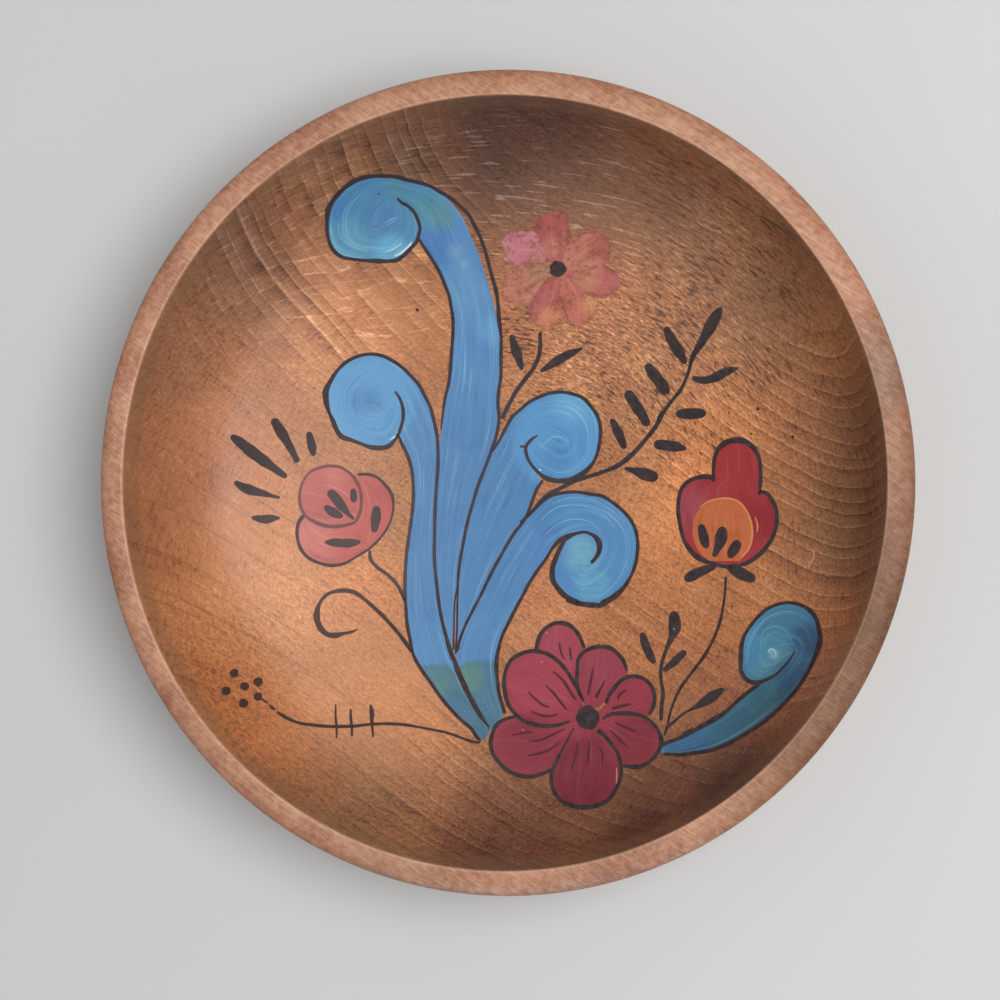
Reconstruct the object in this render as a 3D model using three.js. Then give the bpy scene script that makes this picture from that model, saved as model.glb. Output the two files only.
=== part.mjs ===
// A shallow turned wooden bowl on a low foot ring.
// Millimetres, +Z up, origin on the surface the bowl stands on, at the turning axis.
// The bowl is one piece of wood, so it is one lathe profile turned about +Z.

import * as THREE from 'three';

// Overall sizes
const outerRadius = 120; // widest point, at the outside of the rim
const height = 62; // foot to the top of the rim

// Rim
const rimWidth = 7.7; // mouth edge to the widest point
const mouthRound = 0.8; // the crisp inner edge of the rim
const rimCrown = 14; // radius of the gently crowned top of the rim
const rimRound = 3; // radius of the outer edge of the rim

// Inside
const innerWallAngle = 70; // degrees above the horizontal
const coveRadius = 36; // turn from the wall into the bottom
const dishRadius = 250; // the shallow hollow of the bottom
const floorThickness = 10; // wood left between the inside and the foot recess

// Outside
const outerWallAngle = 76; // degrees above the horizontal
const bellyRadius = 46; // turn from the wall into the underside
const undersideAngle = 17; // degrees above the horizontal

// Foot ring
const footRadius = 58;
const footHeight = 4; // level at which the foot meets the underside
const footLand = 6; // width of the ring's flat face
const footEdge = 0.8; // broken edges of the ring
const footCove = 2.5; // hollow between the foot and the underside
const footDraft = 84; // degrees above the horizontal, for both sides of the ring
const recessDepth = 4;
const recessCorner = 2;

// How finely the turned shape is faceted
const turnSteps = 72; // around the axis
const arcTolerance = 0.08; // furthest that a facet of the profile lies from its arc

const beech = { color: 0xa9714a, roughness: 0.55, metalness: 0 };

const radians = THREE.MathUtils.degToRad;
const point = (radius, level) => new THREE.Vector2(radius, level);

// Unit vector at an angle above the outward horizontal.
function direction(degrees) {
  return point(Math.cos(radians(degrees)), Math.sin(radians(degrees)));
}

// Where a line through one point meets a line through another.
function meeting(from, fromDirection, to, toDirection) {
  const gap = to.clone().sub(from);
  const along = gap.cross(toDirection) / fromDirection.cross(toDirection);
  return from.clone().addScaledVector(fromDirection, along);
}

// Points on a circle between two angles in degrees, both ends included.
function arc(centre, radius, start, end) {
  const step = 2 * THREE.MathUtils.radToDeg(Math.acos(1 - arcTolerance / radius));
  const count = Math.ceil(Math.abs(end - start) / step);
  const points = [];
  for (let index = 0; index <= count; index += 1) {
    const angle = start + ((end - start) * index) / count;
    points.push(centre.clone().addScaledVector(direction(angle), radius));
  }
  return points;
}

// The rounded corner of a profile that runs in along one direction and out along another.
// Both are in degrees, and the profile is walked with the wood on its left.
function roundedCorner(corner, inward, outward, radius) {
  const turn = outward - inward;
  const side = Math.sign(turn);
  const tangent = radius * Math.tan(radians(Math.abs(turn) / 2));
  const start = corner.clone().addScaledVector(direction(inward), -tangent);
  const centre = start.clone().addScaledVector(direction(inward + 90 * side), radius);
  return arc(centre, radius, inward - 90 * side, outward - 90 * side);
}

// Recess under the foot, from the axis to the inner side of the ring.
function recess() {
  const innerRadius = footRadius - footLand;
  const landEdge = point(innerRadius, 0);
  const sideDirection = direction(180 - footDraft);
  const corner = meeting(point(0, recessDepth), direction(0), landEdge, sideDirection);
  const downwards = -footDraft;
  return [
    point(0, recessDepth),
    ...roundedCorner(corner, 0, downwards, recessCorner),
    ...roundedCorner(landEdge, downwards, 0, footEdge),
  ];
}

// Outer side of the foot ring and the hollow above it.
function footSide() {
  const landEdge = point(footRadius, 0);
  const corner = meeting(landEdge, direction(footDraft), point(0, footHeight), direction(0));
  return {
    corner,
    points: [
      ...roundedCorner(landEdge, 0, footDraft, footEdge),
      ...roundedCorner(corner, footDraft, undersideAngle, footCove),
    ],
  };
}

// The rim's top is a crown that starts level at the mouth edge.
// The outer edge is a smaller arc that touches the crown and the widest radius.
function rim() {
  const mouthRadius = outerRadius - rimWidth;
  const mouthCorner = point(mouthRadius, height);
  const edge = roundedCorner(mouthCorner, 180, 180 + innerWallAngle, mouthRound);
  const crownCentre = point(edge[0].x, height - rimCrown);
  const reach = outerRadius - rimRound - crownCentre.x;
  const rise = Math.sqrt((rimCrown - rimRound) ** 2 - reach ** 2);
  const roundCentre = point(outerRadius - rimRound, crownCentre.y + rise);
  const touch = THREE.MathUtils.radToDeg(Math.atan2(rise, reach));
  const wallNormal = outerWallAngle - 90;
  const outerRound = arc(roundCentre, rimRound, wallNormal, touch);
  const crown = arc(crownCentre, rimCrown, touch, 90).slice(1, -1);
  return { mouthCorner, points: [...outerRound, ...crown, ...edge] };
}

// Underside and outer wall, joined by the belly.
function belly(footCorner, wallTop) {
  const corner = meeting(footCorner, direction(undersideAngle), wallTop, direction(outerWallAngle));
  return roundedCorner(corner, undersideAngle, outerWallAngle, bellyRadius);
}

// The cove touches the straight inner wall and the dished bottom, and the dish ends on the axis.
function hollow(mouthCorner) {
  const floorLevel = recessDepth + floorThickness;
  const dishCentre = point(0, floorLevel + dishRadius);
  const down = direction(180 + innerWallAngle);
  const inward = direction(90 + innerWallAngle);
  const start = mouthCorner.clone().addScaledVector(inward, coveRadius).sub(dishCentre);
  const half = start.dot(down);
  const offset = start.lengthSq() - (dishRadius - coveRadius) ** 2;
  const along = -half + Math.sqrt(half ** 2 - offset);
  const coveCentre = start.addScaledVector(down, along).add(dishCentre);
  const towardsDish = coveCentre.clone().sub(dishCentre);
  const dishAngle = THREE.MathUtils.radToDeg(Math.atan2(towardsDish.y, towardsDish.x));
  const wallNormal = innerWallAngle - 90;
  return [
    ...arc(coveCentre, coveRadius, wallNormal, dishAngle),
    ...arc(dishCentre, dishRadius, dishAngle, -90).slice(1, -1),
    point(0, floorLevel),
  ];
}

function bowlProfile() {
  const foot = footSide();
  const lip = rim();
  return [
    ...recess(),
    ...foot.points,
    ...belly(foot.corner, lip.points[0]),
    ...lip.points,
    ...hollow(lip.mouthCorner),
  ];
}

// LatheGeometry turns about +Y, so the turned shape is stood up on +Z.
function bowl() {
  const geometry = new THREE.LatheGeometry(bowlProfile(), turnSteps);
  geometry.rotateX(Math.PI / 2);
  const mesh = new THREE.Mesh(geometry, new THREE.MeshStandardMaterial(beech));
  mesh.name = 'bowl';
  return mesh;
}

const paintedBowl = new THREE.Group();
paintedBowl.add(bowl());

export default paintedBowl;
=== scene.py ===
"""A shallow turned bowl with a painted inside.

Metres, +Z up, standing on its foot ring at the origin.
"""

import math

import bpy
from mathutils import Matrix, Vector


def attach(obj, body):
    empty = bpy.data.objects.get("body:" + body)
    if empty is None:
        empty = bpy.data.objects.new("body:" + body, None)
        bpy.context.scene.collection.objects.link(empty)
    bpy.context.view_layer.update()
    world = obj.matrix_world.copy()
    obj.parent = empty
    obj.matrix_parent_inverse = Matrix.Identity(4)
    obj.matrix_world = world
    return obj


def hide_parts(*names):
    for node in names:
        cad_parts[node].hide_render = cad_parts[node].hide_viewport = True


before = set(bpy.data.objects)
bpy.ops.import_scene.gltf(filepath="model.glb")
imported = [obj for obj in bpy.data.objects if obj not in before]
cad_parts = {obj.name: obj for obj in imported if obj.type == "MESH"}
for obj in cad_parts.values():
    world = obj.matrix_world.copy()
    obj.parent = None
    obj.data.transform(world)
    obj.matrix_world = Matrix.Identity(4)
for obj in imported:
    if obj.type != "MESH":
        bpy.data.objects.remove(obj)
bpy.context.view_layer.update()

# Sizes of the turned bowl

MM = 0.001
OUTER_RADIUS = 120 * MM
HEIGHT = 62 * MM
RIM_WIDTH = 7.7 * MM
MOUTH_ROUND = 0.8 * MM
RIM_CROWN = 14 * MM
RIM_ROUND = 3 * MM
INNER_WALL_ANGLE = 70
COVE_RADIUS = 36 * MM
DISH_RADIUS = 250 * MM
FLOOR_THICKNESS = 10 * MM
OUTER_WALL_ANGLE = 76
BELLY_RADIUS = 46 * MM
UNDERSIDE_ANGLE = 17
FOOT_RADIUS = 58 * MM
FOOT_HEIGHT = 4 * MM
FOOT_LAND = 6 * MM
FOOT_EDGE = 0.8 * MM
FOOT_COVE = 2.5 * MM
FOOT_DRAFT = 84
RECESS_DEPTH = 4 * MM
RECESS_CORNER = 2 * MM

MOUTH_RADIUS = OUTER_RADIUS - RIM_WIDTH
FLOOR_LEVEL = RECESS_DEPTH + FLOOR_THICKNESS
DISH_CENTRE = Vector((0, FLOOR_LEVEL + DISH_RADIUS))
TURN_STEPS = 320
ARC_TOLERANCE = 0.004 * MM

# Camera

# The photograph is 1000 pixels square. Its camera looks down, leaning to the right of the axis.
IMAGE_SIZE = 1000
FOCAL_PIXELS = 2249
SENSOR = 36
CAMERA_LEAN = math.radians(10)
CAMERA_DISTANCE = 0.650
NEAREST_SEEN = 0.01
RIM_CENTRE = Vector((0, 0, HEIGHT))
LOOK_RIGHT = 1.9 * MM
LOOK_DOWN = 4.8 * MM

towards_camera = Vector((math.sin(CAMERA_LEAN), 0, math.cos(CAMERA_LEAN)))
camera_place = RIM_CENTRE + towards_camera * CAMERA_DISTANCE
sideways = Vector((math.cos(CAMERA_LEAN), 0, -math.sin(CAMERA_LEAN)))
looked_at = RIM_CENTRE + sideways * LOOK_RIGHT + Vector((0, -LOOK_DOWN, 0))
backwards = (camera_place - looked_at).normalized()
rightwards = Vector((0, 1, 0)).cross(backwards).normalized()
upwards = backwards.cross(rightwards)
turn = Matrix((rightwards, upwards, backwards)).transposed()

bpy.ops.object.camera_add(location=camera_place, rotation=turn.to_euler())
camera = bpy.context.object
camera.name = "camera"
camera.data.sensor_width = SENSOR
camera.data.lens = FOCAL_PIXELS * SENSOR / IMAGE_SIZE
camera.data.clip_start = NEAREST_SEEN
bpy.context.scene.camera = camera

# Profile of the bowl


def direction(degrees):
    """Unit vector in the profile's plane, at an angle above the outward horizontal."""
    return Vector((math.cos(math.radians(degrees)), math.sin(math.radians(degrees))))


def meeting(start, start_direction, end, end_direction):
    """Where a line through one point meets a line through another."""
    along = (end - start).cross(end_direction) / start_direction.cross(end_direction)
    return start + start_direction * along


def arc(centre, radius, start, end):
    """Points on a circle between two angles in degrees, both ends included."""
    step = 2 * math.degrees(math.acos(1 - ARC_TOLERANCE / radius))
    count = math.ceil(abs(end - start) / step)
    angles = [start + (end - start) * index / count for index in range(count + 1)]
    return [centre + direction(angle) * radius for angle in angles]


def rounded_corner(corner, inward, outward, radius):
    """The rounded corner of a profile that is walked with the wood on its left."""
    side = math.copysign(90, outward - inward)
    tangent = radius * math.tan(math.radians(abs(outward - inward) / 2))
    centre = corner - direction(inward) * tangent + direction(inward + side) * radius
    return arc(centre, radius, inward - side, outward - side)


def recess():
    """The hollow under the foot, from the axis to the inner side of the ring."""
    land_edge = Vector((FOOT_RADIUS - FOOT_LAND, 0))
    top = Vector((0, RECESS_DEPTH))
    corner = meeting(top, direction(0), land_edge, direction(180 - FOOT_DRAFT))
    return [
        top,
        *rounded_corner(corner, 0, -FOOT_DRAFT, RECESS_CORNER),
        *rounded_corner(land_edge, -FOOT_DRAFT, 0, FOOT_EDGE),
    ]


def rim():
    """The outer edge, the gentle crown and the crisp mouth edge."""
    mouth_corner = Vector((MOUTH_RADIUS, HEIGHT))
    edge = rounded_corner(mouth_corner, 180, 180 + INNER_WALL_ANGLE, MOUTH_ROUND)
    crown_centre = Vector((edge[0].x, HEIGHT - RIM_CROWN))
    reach = OUTER_RADIUS - RIM_ROUND - crown_centre.x
    rise = math.sqrt((RIM_CROWN - RIM_ROUND) ** 2 - reach ** 2)
    round_centre = crown_centre + Vector((reach, rise))
    touch = math.degrees(math.atan2(rise, reach))
    outer_round = arc(round_centre, RIM_ROUND, OUTER_WALL_ANGLE - 90, touch)
    crown = arc(crown_centre, RIM_CROWN, touch, 90)[1:-1]
    return outer_round + crown + edge


def outside(wall_top):
    """The foot ring's outer side, the underside and the belly, up to the outer wall."""
    land_edge = Vector((FOOT_RADIUS, 0))
    foot_top = Vector((0, FOOT_HEIGHT))
    foot_corner = meeting(land_edge, direction(FOOT_DRAFT), foot_top, direction(0))
    corner = meeting(foot_corner, direction(UNDERSIDE_ANGLE), wall_top, direction(OUTER_WALL_ANGLE))
    return [
        *rounded_corner(land_edge, 0, FOOT_DRAFT, FOOT_EDGE),
        *rounded_corner(foot_corner, FOOT_DRAFT, UNDERSIDE_ANGLE, FOOT_COVE),
        *rounded_corner(corner, UNDERSIDE_ANGLE, OUTER_WALL_ANGLE, BELLY_RADIUS),
    ]


def cove_centre():
    """The centre of the cove that touches the inner wall and the dished bottom."""
    wall = Vector((MOUTH_RADIUS, HEIGHT)) + direction(90 + INNER_WALL_ANGLE) * COVE_RADIUS
    start = wall - DISH_CENTRE
    down = direction(180 + INNER_WALL_ANGLE)
    half = start.dot(down)
    offset = start.length_squared - (DISH_RADIUS - COVE_RADIUS) ** 2
    return wall + down * (math.sqrt(half ** 2 - offset) - half)


COVE_CENTRE = cove_centre()
DISH_DIRECTION = (COVE_CENTRE - DISH_CENTRE).normalized()
DISH_EDGE = DISH_RADIUS * DISH_DIRECTION.x
COVE_EDGE = COVE_CENTRE.x + COVE_RADIUS * math.sin(math.radians(INNER_WALL_ANGLE))


def inside_level(radius):
    """Height of the inside of the bowl at a distance from its axis."""
    if radius < DISH_EDGE:
        return DISH_CENTRE.y - math.sqrt(DISH_RADIUS ** 2 - radius ** 2)
    if radius < COVE_EDGE:
        return COVE_CENTRE.y - math.sqrt(COVE_RADIUS ** 2 - (radius - COVE_CENTRE.x) ** 2)
    return HEIGHT - (MOUTH_RADIUS - radius) * math.tan(math.radians(INNER_WALL_ANGLE))


def hollow():
    """The cove and the dished bottom, which ends on the axis."""
    dish_angle = math.degrees(math.atan2(DISH_DIRECTION.y, DISH_DIRECTION.x))
    return [
        *arc(COVE_CENTRE, COVE_RADIUS, INNER_WALL_ANGLE - 90, dish_angle),
        *arc(DISH_CENTRE, DISH_RADIUS, dish_angle, -90)[1:-1],
        Vector((0, FLOOR_LEVEL)),
    ]


# Modelling

MERGE_DISTANCE = 0.001 * MM
INSIDE_MARGIN = 0.1 * MM
TURNED_SMOOTHING = math.radians(40)
FILM_SMOOTHING = math.radians(35)


def nothing_selected():
    if bpy.context.object and bpy.context.object.mode != "OBJECT":
        bpy.ops.object.mode_set(mode="OBJECT")
    bpy.ops.object.select_all(action="DESELECT")


def only(piece):
    """Make one piece the selected and active one."""
    nothing_selected()
    piece.select_set(True)
    bpy.context.view_layer.objects.active = piece


def drawn_line(name, points):
    """An edge line through points, drawn as a curve and made a mesh."""
    nothing_selected()
    curve = bpy.data.curves.new(name, "CURVE")
    curve.dimensions = "3D"
    spline = curve.splines.new("POLY")
    spline.points.add(len(points) - 1)
    for handle, place in zip(spline.points, points):
        handle.co = (*place, 1)
    line = bpy.data.objects.new(name, curve)
    bpy.context.scene.collection.objects.link(line)
    only(line)
    bpy.ops.object.convert(target="MESH")
    return bpy.context.object


def turned_bowl():
    """The profile spun about the axis as on a lathe."""
    lip = rim()
    profile = [*recess(), *outside(lip[0]), *lip, *hollow()]
    piece = drawn_line("turned_bowl", [(point.x, 0, point.y) for point in profile])
    bpy.ops.object.mode_set(mode="EDIT")
    bpy.ops.mesh.select_all(action="SELECT")
    bpy.ops.mesh.spin(steps=TURN_STEPS, angle=math.tau, center=(0, 0, 0), axis=(0, 0, 1))
    bpy.ops.mesh.select_all(action="SELECT")
    bpy.ops.mesh.remove_doubles(threshold=MERGE_DISTANCE)
    bpy.ops.mesh.normals_make_consistent(inside=False)
    bpy.ops.object.mode_set(mode="OBJECT")
    bpy.ops.object.shade_smooth_by_angle(angle=TURNED_SMOOTHING)
    mark_inside(piece)
    return piece


def mark_inside(piece):
    """Mark the points of the wood that belong to the inside, for its finish."""
    marks = piece.data.attributes.new("inside", "FLOAT", "POINT")
    for mark, vertex in zip(marks.data, piece.data.vertices):
        radius = vertex.co.xy.length
        within = radius < MOUTH_RADIUS and vertex.co.z > inside_level(radius) - INSIDE_MARGIN
        mark.value = 1 if within else 0


bowl = turned_bowl()
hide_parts("bowl")
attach(bowl, "root")

# Places on the inside

HALVINGS = 40


def on_inside(pixel):
    """The place on the bowl's inside, seen from above, that a pixel of the photograph shows."""
    right = (pixel[0] - IMAGE_SIZE / 2) / FOCAL_PIXELS
    up = (IMAGE_SIZE / 2 - pixel[1]) / FOCAL_PIXELS
    ray = turn @ Vector((right, up, -1))
    near = (HEIGHT - camera_place.z) / ray.z
    far = (FLOOR_LEVEL - camera_place.z) / ray.z
    for _ in range(HALVINGS):
        middle = (near + far) / 2
        place = camera_place + ray * middle
        if place.z > inside_level(min(place.xy.length, MOUTH_RADIUS)):
            near = middle
        else:
            far = middle
    return (camera_place + ray * near).xy


# Brush work

PIXEL = 0.305 * MM  # what a pixel of the photograph spans on the bottom of the bowl
BRUSH_STEP = 0.45 * MM
PATH_STEP = 0.25 * BRUSH_STEP
EDGE_STEP = 1.6 * BRUSH_STEP
LOOK_ALONG = 0.3 * MM  # how far before and behind a rung its direction is taken from
SHEET_LEVEL = 75 * MM  # strokes are drawn flat above the bowl and then laid on it
SUNK = 0.05 * MM
SHORTEST = 1e-7
THINNEST = 0.004 * MM
FEWEST_RUNGS = 8
ROUND_END = (0.04, 0.15, 0.35, 0.65, 1)  # where its rungs lie, as shares of half the width
STROKE_FULLNESS = 0.96
STROKE_SWELL = 0.10
SLOW_SWELL = 2.1 * MM
QUICK_SWELL = 0.83 * MM


def smooth_path(points):
    """Close points along a smooth path through points, and the distance to each.

    The first two numbers of a point are its place, and any others go with it.
    """
    points = [Vector(point) for point in points]
    chords = [max((b - a).xy.length, SHORTEST) for a, b in zip(points, points[1:])]
    slopes = [(b - a) / chord for a, b, chord in zip(points, points[1:], chords)]
    tangents = [slopes[0]]
    for before, after, slope, next_slope in zip(chords, chords[1:], slopes, slopes[1:]):
        tangents.append((next_slope * before + slope * after) / (before + after))
    tangents.append(slopes[-1])
    dense = [points[0]]
    for index, chord in enumerate(chords):
        count = max(2, math.ceil(chord / PATH_STEP))
        for step in range(1, count + 1):
            t = step / count
            dense.append(
                points[index] * (2 * t ** 3 - 3 * t ** 2 + 1)
                + tangents[index] * (chord * (t ** 3 - 2 * t ** 2 + t))
                + points[index + 1] * (3 * t ** 2 - 2 * t ** 3)
                + tangents[index + 1] * (chord * (t ** 3 - t ** 2))
            )
    distances = [0]
    for a, b in zip(dense, dense[1:]):
        distances.append(distances[-1] + (b - a).xy.length)
    return dense, distances


def point_at(path, distance):
    """The point of a path at a distance along it."""
    dense, distances = path
    low, high = 0, len(distances) - 1
    while high - low > 1:
        middle = (low + high) // 2
        if distances[middle] <= distance:
            low = middle
        else:
            high = middle
    span = distances[high] - distances[low]
    share = (distance - distances[low]) / span if span > 0 else 0
    return dense[low].lerp(dense[high], min(max(share, 0), 1))


def with_widths(points, width):
    """Points of the photograph as places and widths in metres."""
    return [
        (*on_inside(point), (point[2] if len(point) > 2 else width) * PIXEL)
        for point in points
    ]


def unsteady(distance, seed):
    """The slight unevenness of a stroke drawn by hand, from -1 to 1."""
    slow = math.sin(distance / SLOW_SWELL + seed * 1.7)
    quick = math.sin(distance / QUICK_SWELL + seed * 3.1)
    return (slow + quick) / 2


def stroke_rungs(points, width):
    """Rungs across a brush stroke that follows points. Its ends are rounded as a brush leaves them."""
    path = smooth_path(with_widths(points, width))
    length = path[1][-1]
    first, last = path[0][0][2], path[0][-1][2]
    stations = {0.0, length}
    for share in ROUND_END:
        stations.update((share * first / 2, length - share * last / 2))
    count = max(2, math.ceil(length / BRUSH_STEP))
    stations.update(length * index / count for index in range(count + 1))
    seed = points[0][0] + points[0][1]
    rungs = []
    for station in sorted(station for station in stations if 0 <= station <= length):
        here = point_at(path, station)
        before = point_at(path, max(0, station - LOOK_ALONG))
        after = point_at(path, min(length, station + LOOK_ALONG))
        along = (after - before).xy.normalized()
        side = Vector((-along.y, along.x))
        half = here[2] / 2 * (STROKE_FULLNESS + STROKE_SWELL * unsteady(station, seed))
        for distance, end_width in ((station, first), (length - station, last)):
            inward = min(1, distance / (end_width / 2))
            half *= math.sqrt(1 - (1 - inward) ** 2)
        half = max(half, THINNEST)
        rungs.append((here.xy + side * half, here.xy - side * half))
    return rungs


def edge_rungs(*stretches):
    """Rungs between two edges. Each stretch gives the pixels of its two edges, from end to end."""
    rungs = []
    for edges in stretches:
        paths = [smooth_path([tuple(on_inside(point)) for point in edge]) for edge in edges]
        longest = max(path[1][-1] for path in paths)
        count = max(FEWEST_RUNGS, math.ceil(longest / EDGE_STEP))
        for index in range(1 if rungs else 0, count + 1):
            rungs.append([point_at(path, path[1][-1] * index / count) for path in paths])
    return rungs


def painted_shape(name, rungs, cells_across):
    """A flat grid whose columns of points lie along the rungs.

    Its UV map runs along the stroke in metres, and across it from 0 to 1.
    """
    nothing_selected()
    bpy.ops.mesh.primitive_grid_add(
        x_subdivisions=len(rungs) - 1, y_subdivisions=cells_across, size=1,
    )
    shape = bpy.context.object
    shape.name = name
    middles = [(a.xy + b.xy) / 2 for a, b in rungs]
    travelled = [0]
    for a, b in zip(middles, middles[1:]):
        travelled.append(travelled[-1] + (b - a).length)
    mesh = shape.data
    columns = []
    for vertex in mesh.vertices:
        column = round((vertex.co.x + 0.5) * (len(rungs) - 1))
        across = vertex.co.y + 0.5
        columns.append((column, across))
        left, right = rungs[column]
        place = left.xy.lerp(right.xy, across)
        vertex.co = (place.x, place.y, SHEET_LEVEL)
    stroke_map = mesh.uv_layers[0]
    stroke_map.name = "stroke"
    for loop, spot in zip(mesh.loops, stroke_map.data):
        column, across = columns[loop.vertex_index]
        spot.uv = (travelled[column], across)
    return shape


def joined(name, shapes):
    """Painted shapes as one piece whose faces look up."""
    nothing_selected()
    for shape in shapes:
        shape.select_set(True)
    bpy.context.view_layer.objects.active = shapes[0]
    if len(shapes) > 1:
        bpy.ops.object.join()
    film = bpy.context.object
    film.name = name
    film.data.name = name
    only(film)
    bpy.ops.object.mode_set(mode="EDIT")
    bpy.ops.mesh.select_all(action="SELECT")
    bpy.ops.mesh.normals_make_consistent(inside=False)
    bpy.ops.object.mode_set(mode="OBJECT")
    if sum(face.normal.z * face.area for face in film.data.polygons) < 0:
        film.data.flip_normals()
    return film


def laid_on_bowl(name, shapes, thickness, finish):
    """Join painted shapes into one film of paint that follows the wood."""
    film = joined(name, shapes)
    lay = film.modifiers.new("lay", "SHRINKWRAP")
    lay.target = bowl
    lay.wrap_method = "PROJECT"
    lay.use_project_z = True
    lay.use_negative_direction = True
    lay.use_positive_direction = False
    body = film.modifiers.new("body", "SOLIDIFY")
    body.thickness = thickness + SUNK
    body.offset = (thickness - SUNK) / (thickness + SUNK)
    for modifier in ("lay", "body"):
        bpy.ops.object.modifier_apply(modifier=modifier)
    bpy.ops.object.shade_smooth_by_angle(angle=FILM_SMOOTHING)
    film.data.materials.clear()
    film.data.materials.append(finish)
    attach(film, "root")


# Finishes


def rgb(red, green, blue):
    """A colour that is named by its values on a screen, 0 to 255."""
    def linear(value):
        value /= 255
        return value / 12.92 if value <= 0.04045 else ((value + 0.055) / 1.055) ** 2.4
    return (linear(red), linear(green), linear(blue), 1)


class Socket:
    """An output of a finish's nodes. Arithmetic on it adds Math nodes."""

    def __init__(self, finish, socket):
        self.finish = finish
        self.socket = socket

    def __add__(self, other):
        return self.finish.math("ADD", self, other)

    def __radd__(self, other):
        return self.finish.math("ADD", other, self)

    def __sub__(self, other):
        return self.finish.math("SUBTRACT", self, other)

    def __rsub__(self, other):
        return self.finish.math("SUBTRACT", other, self)

    def __mul__(self, other):
        return self.finish.math("MULTIPLY", self, other)

    def __rmul__(self, other):
        return self.finish.math("MULTIPLY", other, self)

    def __truediv__(self, other):
        return self.finish.math("DIVIDE", self, other)

    def __pow__(self, other):
        return self.finish.math("POWER", self, other)


class Finish:
    """A material and its nodes."""

    def __init__(self, name, **shader):
        self.material = bpy.data.materials.new(name)
        self.material.use_nodes = True
        self.tree = self.material.node_tree
        self.shader = self.tree.nodes["Principled BSDF"]
        for socket, value in shader.items():
            label = socket.replace("_", " ").title().replace("Ior", "IOR")
            self.shader.inputs[label].default_value = value

    def add(self, kind, settings=None, inputs=None, output=0):
        """Add a node. Settings are set first, then values or links go to its sockets."""
        node = self.tree.nodes.new(kind)
        for name, value in (settings or {}).items():
            if name == "stops":
                self.set_stops(node.color_ramp, value)
            else:
                setattr(node, name, value)
        for name, value in (inputs or {}).items():
            self.feed(node.inputs[name], value)
        return Socket(self, node.outputs[output])

    def set_stops(self, ramp, stops):
        while len(ramp.elements) < len(stops):
            ramp.elements.new(0.5)
        for element, (position, level) in zip(ramp.elements, stops):
            element.position = position
            element.color = (level, level, level, 1)

    def feed(self, socket, value):
        if isinstance(value, Socket):
            self.tree.links.new(value.socket, socket)
        else:
            socket.default_value = value

    def connect(self, name, value):
        self.feed(self.shader.inputs[name], value)

    def math(self, operation, *values):
        return self.add("ShaderNodeMath", {"operation": operation}, dict(enumerate(values)))

    def place(self):
        """Object coordinates in millimetres."""
        spot = self.add("ShaderNodeTexCoord", output="Object")
        scaling = {"operation": "SCALE"}
        return self.add("ShaderNodeVectorMath", scaling, {0: spot, "Scale": 1 / MM})

    def parts(self, vector):
        """The three numbers of a vector."""
        node = self.add("ShaderNodeSeparateXYZ", inputs={0: vector})
        outputs = node.socket.node.outputs
        return [Socket(self, outputs[index]) for index in range(3)]

    def vector(self, x, y, z):
        return self.add("ShaderNodeCombineXYZ", inputs={0: x, 1: y, 2: z})

    def noise(self, vector, scale, detail=2, roughness=0.5):
        inputs = {"Vector": vector, "Scale": scale, "Detail": detail, "Roughness": roughness}
        return self.add("ShaderNodeTexNoise", {"noise_dimensions": "3D"}, inputs)

    def grain(self, x, y=0, z=0, detail=2, roughness=0.5):
        """Noise whose grains have their own size in each direction."""
        return self.noise(self.vector(x, y, z), 1, detail, roughness)

    def chance(self, *numbers):
        """A steady random value for up to three whole numbers."""
        vector = self.vector(*numbers, *[0] * (3 - len(numbers)))
        settings = {"noise_dimensions": "3D"}
        return self.add("ShaderNodeTexWhiteNoise", settings, {"Vector": vector}, output="Value")

    def ease(self, value, low, high):
        """0 at low, 1 at high, and smooth between."""
        inputs = {"Value": value, "From Min": low, "From Max": high}
        return self.add("ShaderNodeMapRange", {"interpolation_type": "SMOOTHSTEP"}, inputs)

    def ramp(self, value, stops):
        return self.add("ShaderNodeValToRGB", {"stops": stops}, {"Fac": value})

    def mix(self, share, first, second, blend="MIX"):
        """Mix two colours."""
        settings = {"data_type": "RGBA", "blend_type": blend}
        return self.add("ShaderNodeMix", settings, {0: share, 6: first, 7: second}, output=2)

    def distance(self, vector, place):
        """Distance in millimetres, seen from above, from a place."""
        x, y, _ = self.parts(vector)
        inputs = {0: self.vector(x - place[0], y - place[1], 0)}
        return self.add("ShaderNodeVectorMath", {"operation": "LENGTH"}, inputs, output="Value")

    def near(self, place, pixel, reach, blur, waver=0):
        """1 within a reach of a pixel of the photograph, and 0 beyond its blur, both in pixels."""
        away = self.distance(place, on_inside(pixel) / MM) + waver
        unit = PIXEL / MM
        return self.ease(away, (reach + blur) * unit, (reach - blur) * unit)

    def zone(self, place, spots):
        """The strongest of some spots. Each is a pixel, reach, blur and share."""
        strongest = 0
        for pixel, reach, blur, share in spots:
            strongest = self.math("MAXIMUM", strongest, self.near(place, pixel, reach, blur) * share)
        return strongest

    def touched(self, place, colour, spots, blend="MIX", within=1, waver=0):
        """A colour with spots of others. Each is a pixel, reach, blur, colour and share."""
        for pixel, reach, blur, touch, share in spots:
            near = self.near(place, pixel, reach, blur, waver) * share * within
            colour = self.mix(near, colour, touch, blend)
        return colour

    def bump(self, height, depth):
        inputs = {"Height": height, "Distance": depth, "Strength": 1.0}
        return self.add("ShaderNodeBump", inputs=inputs)


# The wood

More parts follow.
